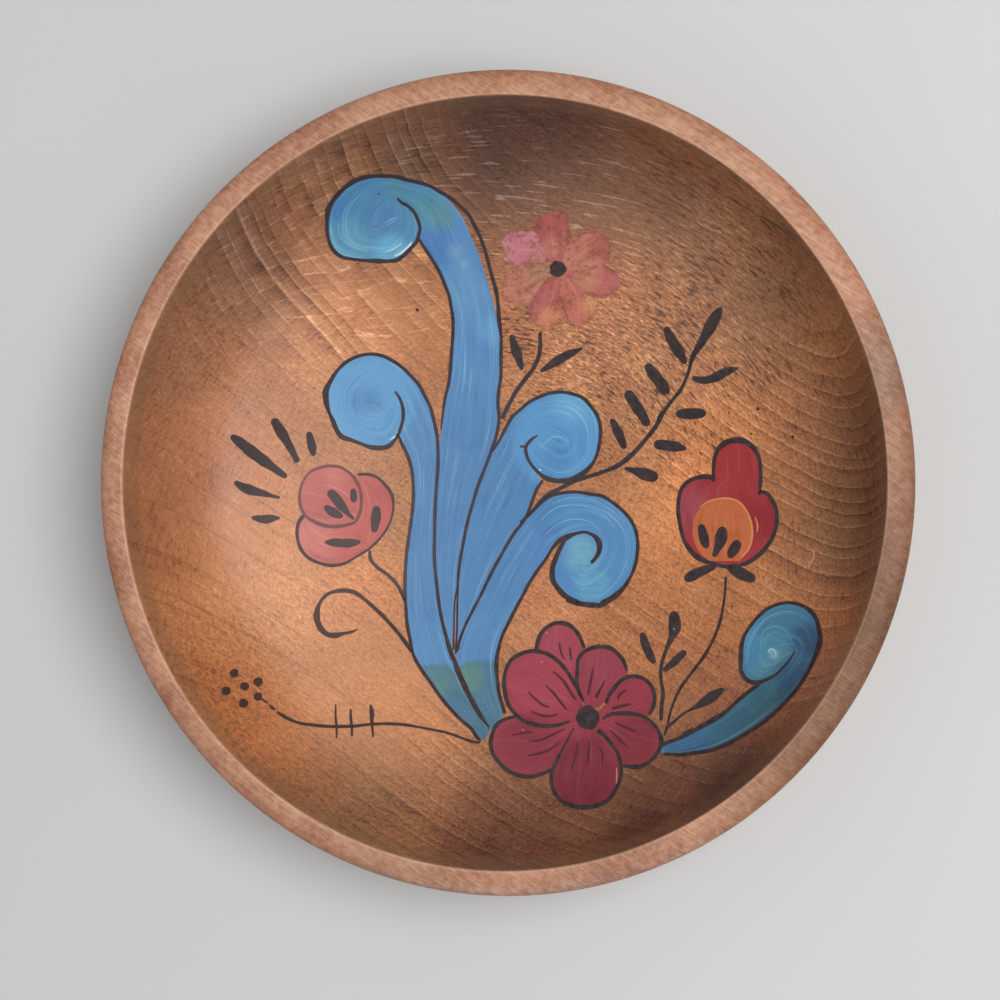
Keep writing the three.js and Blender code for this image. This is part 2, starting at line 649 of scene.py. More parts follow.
# Sizes in its figure are in millimetres.
# How the blank lay in the log: the heart of the tree ran above the bowl, beyond the lower left
# of the design, and dipped away from the surface as it went to the right.
FIBRE_ANGLE = math.radians(-33.4)
FIBRE_RISE = math.radians(12)
HEART_ASIDE = -309
HEART_LEVEL = 221
USUAL_DEPTH = 400  # from the heart to the bottom of the bowl
RING_WIDTH = 4.2
SLOWER_FROM = 404  # beyond this depth the tree grew slower, with more rings to a millimetre
SLOWER_RINGS = 0.11
RAY_GAP = 5.0
FLECK_MIDDLE = (488, 572)  # the flecks lie round this pixel, as the turning tool left them
FLECK_RADIUS = 90
USUAL_TONE = 0.54

# How pale the wood is across a ring and across the gap between two rays
RING_LINE = [(0, 0.5), (0.03, 1.0), (0.09, 0.4), (0.15, 0), (0.97, 0), (1, 0.5)]
RING_BAND = [(0, 0.3), (0.1, 0), (0.45, 0.12), (0.75, 0.5), (0.95, 1.0), (1, 0.7)]
RAY_LINE = [(0, 1), (0.06, 0.7), (0.11, 0), (0.93, 0), (1, 1)]

# Where the wood shows its figure most: pixel of the photograph, reach, blur and share.
# In SMOOTH its pores show least.
CHECKED = [((330, 215), 150, 70, 1.0), ((690, 790), 90, 50, 0.5)]
RINGED = [((850, 500), 190, 70, 1.0), ((530, 830), 170, 60, 0.75), ((620, 620), 110, 60, 0.45)]
FLECKED = [((628, 290), 135, 85, 0.8)]
DASHED = [((560, 150), 120, 70, 1.0)]
SMOOTH = [((185, 500), 120, 70, 0.65)]

# Marks in the wood, as what they multiply its colour by
DARK_PORE = (0.48, 0.40, 0.38, 1)
PALE_PORE = (1.40, 1.36, 1.32, 1)
DARK_FLECK = (0.50, 0.46, 0.52, 1)
PALE_FLECK = (1.30, 1.22, 1.20, 1)

# Colours of the stained wood
DARK_STAIN = rgb(88, 52, 36)
BROWN_STAIN = rgb(178, 118, 75)
PALE_STAIN = rgb(232, 182, 138)
WARM_STAIN = rgb(206, 134, 78)
# An olive band just under the mouth, all round
UNDER_RIM_OLIVE = rgb(118, 88, 60)
OUTSIDE_STAIN = rgb(160, 104, 76)

# Where the stain went on darker or thinner, mixed with painted shade on the steep walls, most at the top,
# and painted sheen that lightens parts of the bottom, most on its left: pixel, reach, blur, colour and
# share.
STAIN_SHADE_AND_SHEEN = [
    ((520, 95), 118, 80, rgb(158, 170, 207), 1.0),
    ((655, 205), 60, 50, (0.62, 0.64, 0.68, 1), 1.0),
    ((750, 270), 66, 50, (0.60, 0.61, 0.64, 1), 1.0),
    ((545, 196), 90, 34, (0.80, 0.82, 0.88, 1), 1.0),
    ((680, 205), 42, 36, (0.72, 0.74, 0.80, 1), 1.0),
    ((772, 325), 48, 40, (0.80, 0.82, 0.86, 1), 1.0),
    ((475, 180), 42, 34, (0.78, 0.84, 0.92, 1), 1.0),
    ((736, 802), 44, 26, (0.44, 0.50, 0.56, 1), 1.0),
    ((250, 235), 34, 26, (0.74, 0.76, 0.90, 1), 1.0),
    ((320, 690), 105, 60, (1.03, 0.97, 0.88, 1), 1.0),
    ((200, 470), 70, 50, (1.05, 1.04, 1.06, 1), 1.0),
    ((410, 165), 28, 26, (0.66, 0.82, 1.0, 1), 1.0),
    ((300, 150), 90, 50, rgb(214, 226, 250), 0.9),
    ((222, 285), 52, 46, (0.62, 0.72, 0.94, 1), 1.0),
    ((160, 360), 40, 30, (0.74, 0.82, 1.0, 1), 1.0),
    ((560, 885), 130, 70, rgb(200, 202, 208), 1.0),
    ((730, 835), 130, 60, rgb(184, 184, 208), 1.0),
    ((905, 480), 120, 60, rgb(206, 212, 218), 1.0),
    ((820, 480), 100, 50, rgb(228, 234, 240), 1.0),
    ((548, 615), 34, 30, (1.22, 1.28, 1.42, 1), 1.0),
    ((115, 480), 80, 50, rgb(224, 224, 230), 1.0),
    ((292, 602), 34, 34, (1.16, 1.26, 1.36, 1), 1.0),
    ((330, 805), 62, 46, (0.72, 0.82, 0.94, 1), 1.0),
    ((690, 745), 44, 30, (1.24, 1.26, 1.28, 1), 1.0),
    ((500, 845), 66, 24, (0.74, 0.71, 0.80, 1), 1.0),
    ((292, 560), 62, 56, (1.40, 1.38, 1.34, 1), 1.0),
    ((375, 585), 34, 30, (1.36, 1.30, 1.24, 1), 1.0),
    ((250, 470), 60, 50, (1.14, 1.06, 1.0, 1), 1.0),
    ((745, 475), 78, 56, (1.40, 1.32, 1.22, 1), 1.0),
    ((660, 535), 44, 36, (1.28, 1.28, 1.26, 1), 1.0),
    ((690, 482), 28, 24, (1.24, 1.24, 1.28, 1), 1.0),
    ((342, 345), 50, 38, (1.40, 1.42, 1.52, 1), 1.0),
    ((400, 792), 50, 30, (0.84, 0.87, 0.92, 1), 1.0),
    ((410, 722), 48, 26, (1.18, 1.10, 1.00, 1), 1.0),
]
THIN_STAINS = [
    ((640, 285), 120, 70, rgb(216, 164, 132), 0.15),
    ((370, 690), 80, 50, rgb(238, 176, 132), 0.25),
]
# Where the rim is darker or paler, in the same way
RIM_TONES = [
    ((900, 540), 110, 70, (0.66, 0.64, 0.62, 1), 1.0),
    ((855, 670), 100, 60, (0.52, 0.52, 0.49, 1), 1.0),
    ((770, 775), 64, 50, (0.76, 0.76, 0.74, 1), 1.0),
    ((610, 875), 60, 50, (0.88, 0.86, 0.88, 1), 1.0),
    ((121, 377), 40, 30, (1.26, 1.28, 1.34, 1), 1.0),
    ((385, 868), 70, 50, (0.86, 0.86, 0.86, 1), 1.0),
    ((888, 366), 36, 30, (0.66, 0.76, 0.84, 1), 1.0),
]
# A painted highlight where the light glances off the outer part of the rim along the bottom, and the tint
# it multiplies by
RIM_PAINTED_HIGHLIGHT = [((540, 893), 150, 70, 1.0)]
PAINTED_HIGHLIGHT_TINT = (1.1, 1.32, 1.6, 1)

# The bare rim: its colours, and the levels and radii between which a part of it begins
DARK_RIM = rgb(154, 103, 77)
PALE_RIM = rgb(206, 157, 127)
# Redder, and darker as painted shade where the outer edge turns down
RIM_EDGE_TINT_AND_SHADE = rgb(222, 200, 190)
WORN_ARRIS = rgb(226, 186, 156)
RIM_LEVELS = (56.5, 59.5)
UNDER_RIM_RADII = (108.9, 110.6)
EDGE_RADII = (114.8, 118.4)
PAINTED_HIGHLIGHT_RADII = (115.5, 118)
ARRIS_INNER_RADII = (111.55, 112.2)
ARRIS_OUTER_RADII = (113.1, 112.5)
ARRIS_LEVELS = (60.6, 61.6)


def log_coordinates(finish, place):
    """Millimetres along the fibre, out from the heart, around it, and sideways as seen from above."""
    x, y, z = finish.parts(place)
    forward = x * math.cos(FIBRE_ANGLE) + y * math.sin(FIBRE_ANGLE)
    lift = z - HEART_LEVEL
    along = forward * math.cos(FIBRE_RISE) + lift * math.sin(FIBRE_RISE)
    rise = lift * math.cos(FIBRE_RISE) - forward * math.sin(FIBRE_RISE)
    out = y * math.cos(FIBRE_ANGLE) - x * math.sin(FIBRE_ANGLE) - HEART_ASIDE
    waver = finish.noise(place, 0.03) * 2.2 + finish.noise(place, 0.18) * 0.8
    depth = (out * out + rise * rise) ** 0.5 + waver
    around = finish.math("ARCTAN2", rise, out) * USUAL_DEPTH
    return along, depth, around, out


def growth_rings(finish, along, depth, drawn):
    """The number of each growth ring, and how the rings change the tone.

    A ring is a thin pale line, then a band that darkens towards the next line.
    """
    later = finish.math("MAXIMUM", depth - SLOWER_FROM, 0) * SLOWER_RINGS
    rings = depth / RING_WIDTH + later + finish.grain(depth / 10, detail=1) * 2.4
    ring = finish.math("FLOOR", rings)
    strength = finish.chance(ring) * 0.7 + 0.3
    line = finish.ramp(rings - ring, RING_LINE)
    band = finish.ramp(rings - ring, RING_BAND)
    fine = finish.grain(depth / 0.7, along / 90, detail=1) - 0.5
    return ring, ((line * 0.34 - band * 0.32) * strength + fine * 0.22) * drawn


def wood_rays(finish, place, ring, along, depth, around, checked, dashed):
    """How rays change the tone: pale lines across the rings, checks, and dashes up the wall."""
    rays = around / RAY_GAP + finish.noise(place, 0.05, detail=1) * 1.6
    ray = finish.math("FLOOR", rays)
    broken = finish.grain(depth / 4, ray * 7, along / 9, detail=1)
    lines_across = finish.ramp(rays - ray, RAY_LINE) * finish.ease(broken, 0.46, 0.60) * 0.30
    checks = (finish.chance(ring, ray) - 0.5) * 0.22
    dash = finish.grain(around / 0.6, depth / 7, along / 12, detail=0)
    dash = finish.ease(dash, 0.66, 0.74)
    return (lines_across + checks) * checked + dash * (dashed * 0.44 + checked * 0.16)


def wood_flecks(finish, place, flecked):
    """The coarse flecks, and how they and the fine ones change the tone.

    They lie where the surface runs along the rings, coarse ones in clumps and fine ones all over.
    """
    x, y, _ = finish.parts(place)
    middle = on_inside(FLECK_MIDDLE) / MM
    outward = finish.distance(place, middle)
    across = finish.math("ARCTAN2", y - middle.y, x - middle.x) * FLECK_RADIUS
    clumps = finish.noise(place, 0.075, roughness=0.6)
    coarse = finish.grain(across / 3.4, outward / 0.78, roughness=0.6) + (clumps - 0.5) * 0.5
    fine = finish.grain(across / 2.0, outward / 0.4, 7, roughness=0.6)
    pale = (finish.ease(coarse, 0.45, 0.35) + finish.ease(fine, 0.46, 0.36)) * 0.26
    dark = finish.ease(coarse, 0.58, 0.68) * 0.72 + finish.ease(fine, 0.53, 0.64) * 0.40
    return coarse, (pale - dark) * flecked


def beech_figure(finish, place):
    """How pale the stained beech is, from 0 to 1, its fibre alone, and its marks as shares and tints."""
    along, depth, around, aside = log_coordinates(finish, place)
    _, _, level = finish.parts(place)
    checked = finish.zone(place, CHECKED)
    dashed = finish.zone(place, DASHED)
    flecked = (finish.zone(place, FLECKED) + 0.2) * (1 - dashed * 0.6)
    drawn = finish.math("MAXIMUM", finish.zone(place, RINGED), checked) * 0.8 + 0.2
    plain = (1 - checked * 0.6) * (1 - finish.zone(place, SMOOTH))

    ring, rings = growth_rings(finish, along, depth, drawn)
    rays = wood_rays(finish, place, ring, along, depth, around, checked, dashed)
    coarse, flecks = wood_flecks(finish, place, flecked)
    streaks = finish.ease(finish.grain(aside / 1.1, along / 160, roughness=0.6), 0.54, 0.70)
    fibre = finish.grain(along / 7, aside / 0.4, level / 1.5, roughness=0.6)
    patch = finish.noise(place, 0.05, detail=3, roughness=0.55)
    tone = USUAL_TONE + rings - streaks * (1 - drawn) * 0.22 + rays + flecks
    tone = tone + (fibre - 0.5) * 0.34 + (patch - 0.5) * 0.36

    pores = finish.grain(along / 1.2, aside / 0.62, level / 1.2, roughness=0.6)
    marks = [
        (finish.ease(pores, 0.50, 0.66) * plain * 0.6, DARK_PORE),
        (finish.ease(pores, 0.48, 0.34) * plain * 0.6, PALE_PORE),
        (finish.ease(coarse, 0.55, 0.68) * flecked * 0.75, DARK_FLECK),
        (finish.ease(coarse, 0.47, 0.36) * flecked * 0.6, PALE_FLECK),
    ]
    return tone, fibre, marks


def stained_wood(finish, place, radius, inside, tone, marks):
    """The colour of the stained wood, dark up the inner wall partly as painted shade, with painted sheen on
    parts of the bottom and an olive band just under the mouth.
    """
    colour = finish.mix(finish.ease(tone, -0.05, 0.6), DARK_STAIN, BROWN_STAIN)
    colour = finish.mix(finish.ease(tone, 0.5, 1.1), colour, PALE_STAIN)
    warm = finish.ease(finish.noise(place, 0.018), 0.4, 0.65)
    colour = finish.mix(warm * 0.15, colour, WARM_STAIN, "SOFT_LIGHT")
    for share, tint in marks:
        colour = finish.mix(share, colour, tint, "MULTIPLY")
    # Stain, painted shade on the walls and painted sheen on the bottom
    colour = finish.touched(place, colour, STAIN_SHADE_AND_SHEEN, "MULTIPLY", within=inside)
    colour = finish.touched(place, colour, THIN_STAINS, within=inside)
    # An olive band just under the mouth, all round
    under_rim = finish.ease(radius, *UNDER_RIM_RADII) * inside
    return finish.mix(under_rim * 0.4, colour, UNDER_RIM_OLIVE)


def bare_rim(finish, place, radius, fibre):
    """The colour of the rim, which is bare of paint, worn pale, and redder towards its outer edge, where it
    is also darker as painted shade, with a painted highlight along the bottom.
    """
    speck = finish.noise(place, 0.5, detail=3, roughness=0.6)
    worn_patch = finish.noise(place, 0.045, detail=3, roughness=0.6)
    turning = finish.grain(radius / 0.5, roughness=0.6)
    hatch = (fibre - 0.5) * 0.8 + (speck + worn_patch - 1) * 0.75 + (turning - 0.5) * 0.25
    colour = finish.mix(finish.ease(hatch, -0.35, 0.35), DARK_RIM, PALE_RIM)
    # Redder towards the outer edge, and darker there as painted shade
    edge = finish.ease(radius, *EDGE_RADII)
    colour = finish.mix(edge * 0.5, colour, RIM_EDGE_TINT_AND_SHADE, "MULTIPLY")
    colour = finish.touched(place, colour, RIM_TONES, "MULTIPLY")
    # Painted highlight on the outer part of the rim along the bottom
    painted_highlight = finish.zone(place, RIM_PAINTED_HIGHLIGHT) * finish.ease(radius, *PAINTED_HIGHLIGHT_RADII)
    return finish.mix(painted_highlight, colour, PAINTED_HIGHLIGHT_TINT, "MULTIPLY")


def beech():
    """Turned beech under a brown stain, bare and paler on the rim."""
    finish = Finish("stained_beech", specular_ior_level=0.35, coat_roughness=0.34)
    place = finish.place()
    radius = finish.distance(place, (0, 0))
    _, _, level = finish.parts(place)
    inside = finish.add("ShaderNodeAttribute", {"attribute_name": "inside"}, output="Fac")
    tone, fibre, marks = beech_figure(finish, place)
    colour = stained_wood(finish, place, radius, inside, tone, marks)
    on_rim = finish.ease(level, *RIM_LEVELS)
    colour = finish.mix((1 - inside) * on_rim * 0.95, colour, bare_rim(finish, place, radius, fibre))
    outer = (1 - inside) * (1 - on_rim)
    colour = finish.mix(outer * 0.4, colour, OUTSIDE_STAIN, "MULTIPLY")
    arris = finish.ease(radius, *ARRIS_INNER_RADII) * finish.ease(radius, *ARRIS_OUTER_RADII)
    worn = arris * finish.ease(level, *ARRIS_LEVELS)
    colour = finish.mix(worn * 0.2, colour, WORN_ARRIS)
    finish.connect("Base Color", colour)
    finish.connect("Roughness", 0.58 - inside * 0.08)
    finish.connect("Coat Weight", inside * 0.18)
    tool_marks = finish.grain(radius * 0.9, level * 0.9, roughness=0.6) * (1 - inside)
    finish.connect("Normal", finish.bump(tone + tool_marks * 1.4, 0.05 * MM))
    return finish.material


# The paints

PALE_HAIR = rgb(205, 222, 226)
DARK_LINER = rgb(50, 41, 43)
GREY_LINER = rgb(70, 59, 60)
BROKEN_LINER = rgb(96, 62, 50)

# Where the black is bluer or browner, and where a painted sheen makes it greyer on the left: pixel, reach,
# blur, colour and share.
BLACK_TINT_AND_SHEEN = [
    ((345, 535), 90, 40, rgb(98, 82, 82), 0.7),
    ((330, 618), 30, 20, rgb(114, 94, 88), 0.7),
    ((400, 230), 90, 40, rgb(56, 51, 60), 0.7),
    ((480, 470), 100, 60, rgb(70, 66, 74), 0.7),
    ((300, 700), 120, 50, rgb(72, 52, 44), 0.7),
]


def off_middle(finish, across):
    """How far a place lies from the middle of a stroke, from 0 to 1 at its edges."""
    return finish.math("ABSOLUTE", across - 0.5) * 2


def brushed_paint(
    name, dark, middle, light, patches=(), streaks=14, strength=1.0, hairs=0.0, wear=0.0,
):
    """Paint whose brush marks follow the stroke.

    Patches are spots of other colours. Hairs are thin pale brush lines.
    Wear lets the wood show through in specks, and most along the edges.
    """
    finish = Finish(name, specular_ior_level=0.3, coat_weight=0.12, coat_roughness=0.3)
    u, v, _ = finish.parts(finish.add("ShaderNodeUVMap", {"uv_map": "stroke"}))
    place = finish.place()
    fine = finish.grain(u * 90, v * streaks * 2.4, detail=3, roughness=0.62)
    broad = finish.grain(u * 38, v * streaks * 0.55, 4)
    cloud = finish.noise(place, 0.11, detail=3, roughness=0.6)
    speckle = finish.noise(place, 1.3, roughness=0.6)
    shade = (fine - 0.5) * 0.9 + (broad - 0.5) + (cloud - 0.5) * 0.8 + (speckle - 0.5) * 0.5
    tone = 0.5 + shade * strength
    middle = finish.touched(place, middle, patches, waver=(cloud - 0.5) * 4)
    darker = finish.mix(1.0, middle, dark, "MULTIPLY")
    lighter = finish.mix(1.0, middle, light, "SCREEN")
    colour = finish.mix(finish.ease(tone, 0.10, 0.52), darker, middle)
    colour = finish.mix(finish.ease(tone, 0.50, 0.90), colour, lighter)
    if hairs:
        hair = finish.ease(finish.grain(u * 26, v * streaks * 3.2, 9, detail=1), 0.58, 0.70)
        hair = hair * finish.ease(broad, 0.4, 0.6) * hairs
        colour = finish.mix(hair, colour, lighter)
        colour = finish.mix(hair * 0.5, colour, PALE_HAIR)
    if wear:
        chips = finish.noise(place, 0.8) * 0.7 + finish.noise(place, 0.3) * 0.6
        chips = chips + off_middle(finish, v) ** 3 * 0.16
        finish.connect("Alpha", 1 - finish.ease(chips, 0.64, 1.0) * wear)
    finish.connect("Base Color", colour)
    finish.connect("Roughness", 0.44 + (fine - 0.5) * 0.2)
    finish.connect("Normal", finish.bump(fine + broad, 0.04 * MM))
    return finish.material


def liner():
    """Black drawn with a thin brush, browner and broken where it thins along its edges, and greyed by a
    painted sheen on the left.
    """
    finish = Finish("black_liner", specular_ior_level=0.16)
    place = finish.place()
    _, v, _ = finish.parts(finish.add("ShaderNodeUVMap", {"uv_map": "stroke"}))
    cloud = finish.noise(place, 0.5, detail=3, roughness=0.6)
    ragged = finish.noise(place, 1.5, detail=3, roughness=0.65)
    colour = finish.mix(finish.ease(cloud, 0.3, 0.75), DARK_LINER, GREY_LINER)
    # Tints of the black, and a painted sheen that greys it on the left
    colour = finish.touched(place, colour, BLACK_TINT_AND_SHEEN)
    edge = off_middle(finish, v) + (ragged - 0.5) * 1.1
    colour = finish.mix(finish.ease(edge, 0.74, 1.14) * 0.7, colour, BROKEN_LINER)
    finish.connect("Base Color", colour)
    finish.connect("Roughness", 0.56 + (cloud - 0.5) * 0.2)
    finish.connect("Normal", finish.bump(finish.noise(place, 1.6), 0.03 * MM))
    return finish.material


# The design, by pixels

TALL_SCROLL_LIMB = (
    [(452, 657), (447, 642), (441, 617), (437, 587), (434.5, 560), (435.5, 515), (438, 466), (441, 430),
     (445, 399), (449, 382), (452, 347), (453, 319), (445, 285), (435, 264), (422, 244)],
    [(454, 657), (455, 618), (458, 573), (465, 534), (478, 486), (490, 459), (498, 431), (500, 410),
     (500, 380), (500, 350), (497, 319), (491.5, 296), (484.5, 272), (478.5, 254), (471.5, 238)],
)
TALL_SCROLL_HEAD = (
    ([(422, 244), (419, 234), (420, 229), (418, 220), (414, 212), (408, 206), (398, 200)],
     [(471.5, 238), (463.5, 219), (450, 201.5), (432, 187), (408, 180), (386, 176)]),
    ([(398, 200), (386, 210), (375, 222)],
     [(386, 176), (362, 178), (340, 192), (328, 210.5), (327.5, 234), (335, 252), (352, 259)]),
    ([(375, 222), (375.2, 221.8)],
     [(352, 259), (377, 261), (397, 260), (411, 248), (419, 237)]),
    ([(375.2, 221.8), (386, 210), (398, 200)],
     [(419, 237), (420, 229), (418, 220), (414, 212), (408, 206), (399, 200)]),
)
LEFT_SCROLL_LIMB = (
    [(484, 741), (470, 729), (447, 707), (429, 681), (414, 653), (406, 618), (405, 583), (409, 536),
     (413.5, 494), (407, 454), (399, 437)],
    [(490, 731), (481, 715), (468, 694), (459, 671.5), (451, 655), (441, 617), (435.4, 572), (435, 515),
     (438, 460), (434, 421), (418, 383.5)],
)
LEFT_SCROLL_HEAD = (
    ([(399, 437), (403, 419), (403, 409), (400, 399), (395, 391)],
     [(418, 383.5), (403, 368), (383, 356), (370, 354)]),
    ([(395, 391), (386, 394), (375, 401)],
     [(370, 354), (356, 357), (337, 371), (326, 390.5), (329, 412)]),
    ([(375, 401), (375.2, 400.9)],
     [(329, 412), (337, 430.5), (351, 440), (370, 447), (389, 446), (398, 437)]),
    ([(375.2, 400.9), (386, 394), (395, 391)],
     [(398, 437), (403, 419), (403, 409), (400, 399), (396, 391)]),
)
UPPER_RIGHT_LIMB = (
    [(455.5, 657), (456, 604), (460, 561), (468.6, 518), (478, 486), (490, 459), (499, 441), (507, 426),
     (520, 410)],
    [(457.5, 655), (472.6, 611), (493.6, 569), (514.5, 533), (525, 519), (533, 499), (541, 483), (535, 470),
     (527, 456)],
)
UPPER_RIGHT_HEAD = (
    ([(520, 410), (539, 397), (562, 392)],
     [(527, 456), (526, 447), (531, 440), (538, 435)]),
    ([(562, 392), (583, 398), (597.5, 416), (600, 440)],
     [(538, 435), (548, 436), (560, 440)]),
    ([(600, 440), (593, 463), (577, 477), (555, 480.6), (538, 472)],
     [(560, 440), (559.8, 440)]),
    ([(538, 472), (527, 456), (526, 447), (531, 440), (537, 435.5)],
     [(559.8, 440), (548, 436), (538, 435)]),
)
LOWER_RIGHT_LIMB = (
    [(489, 731), (481, 715), (468, 694), (459, 671.5), (456.5, 655), (465.6, 625), (480, 597), (493.6, 569),
     (507.5, 544), (522, 523), (541, 503)],
    [(497, 724), (504, 712), (502, 704), (497.6, 681), (497, 660), (502, 636.5), (515, 610), (530, 582),
     (545, 560), (556, 544), (570, 536)],
)
LOWER_RIGHT_HEAD = (
    ([(541, 503), (562, 493), (590, 494), (612, 502)],
     [(570, 536), (581, 533), (592, 534), (599, 541)]),
    ([(612, 502), (630.5, 520), (637.5, 544), (634.5, 567)],
     [(599, 541), (601, 549), (597, 557), (591, 563)]),
    ([(634.5, 567), (621.5, 590), (603, 604), (583.5, 603), (564, 596)],
     [(591, 563), (585, 564.5), (580, 564)]),
    ([(564, 596), (553, 581), (553.4, 567), (560, 549), (568, 537)],
     [(580, 564), (580.2, 564)]),
    ([(568, 537), (581, 533.5), (592, 535), (598, 542), (599.5, 549), (596, 556.5), (591, 563)],
     [(580.2, 564), (585, 564.5), (591, 563)]),
)
FAR_SCROLL_LIMB = (
    [(661, 746), (675, 740), (698.9, 728), (720, 716), (738, 700.7), (760.7, 683), (776.8, 674),
     (790.8, 658.6), (795, 651)],
    [(662, 753), (682, 754.7), (710, 750.5), (738, 738.6), (766, 720.3), (790.8, 696.5), (807.7, 672.6),
     (818.2, 648.8), (820.5, 640)],
)
FAR_SCROLL_HEAD = (
    ([(795, 651), (788, 650), (778, 653)],
     [(820.5, 640), (817, 619), (801.4, 605.3), (785, 603.2)]),
    ([(778, 653), (776, 654)],
     [(785, 603.2), (767.7, 608.8), (749.4, 627.7), (741.3, 648.8), (741.3, 671), (753.7, 683)]),
    ([(776, 654), (778, 653), (788, 650), (795, 651)],
     [(753.7, 683), (769, 679), (784.5, 666.3), (795, 651.5)]),
)

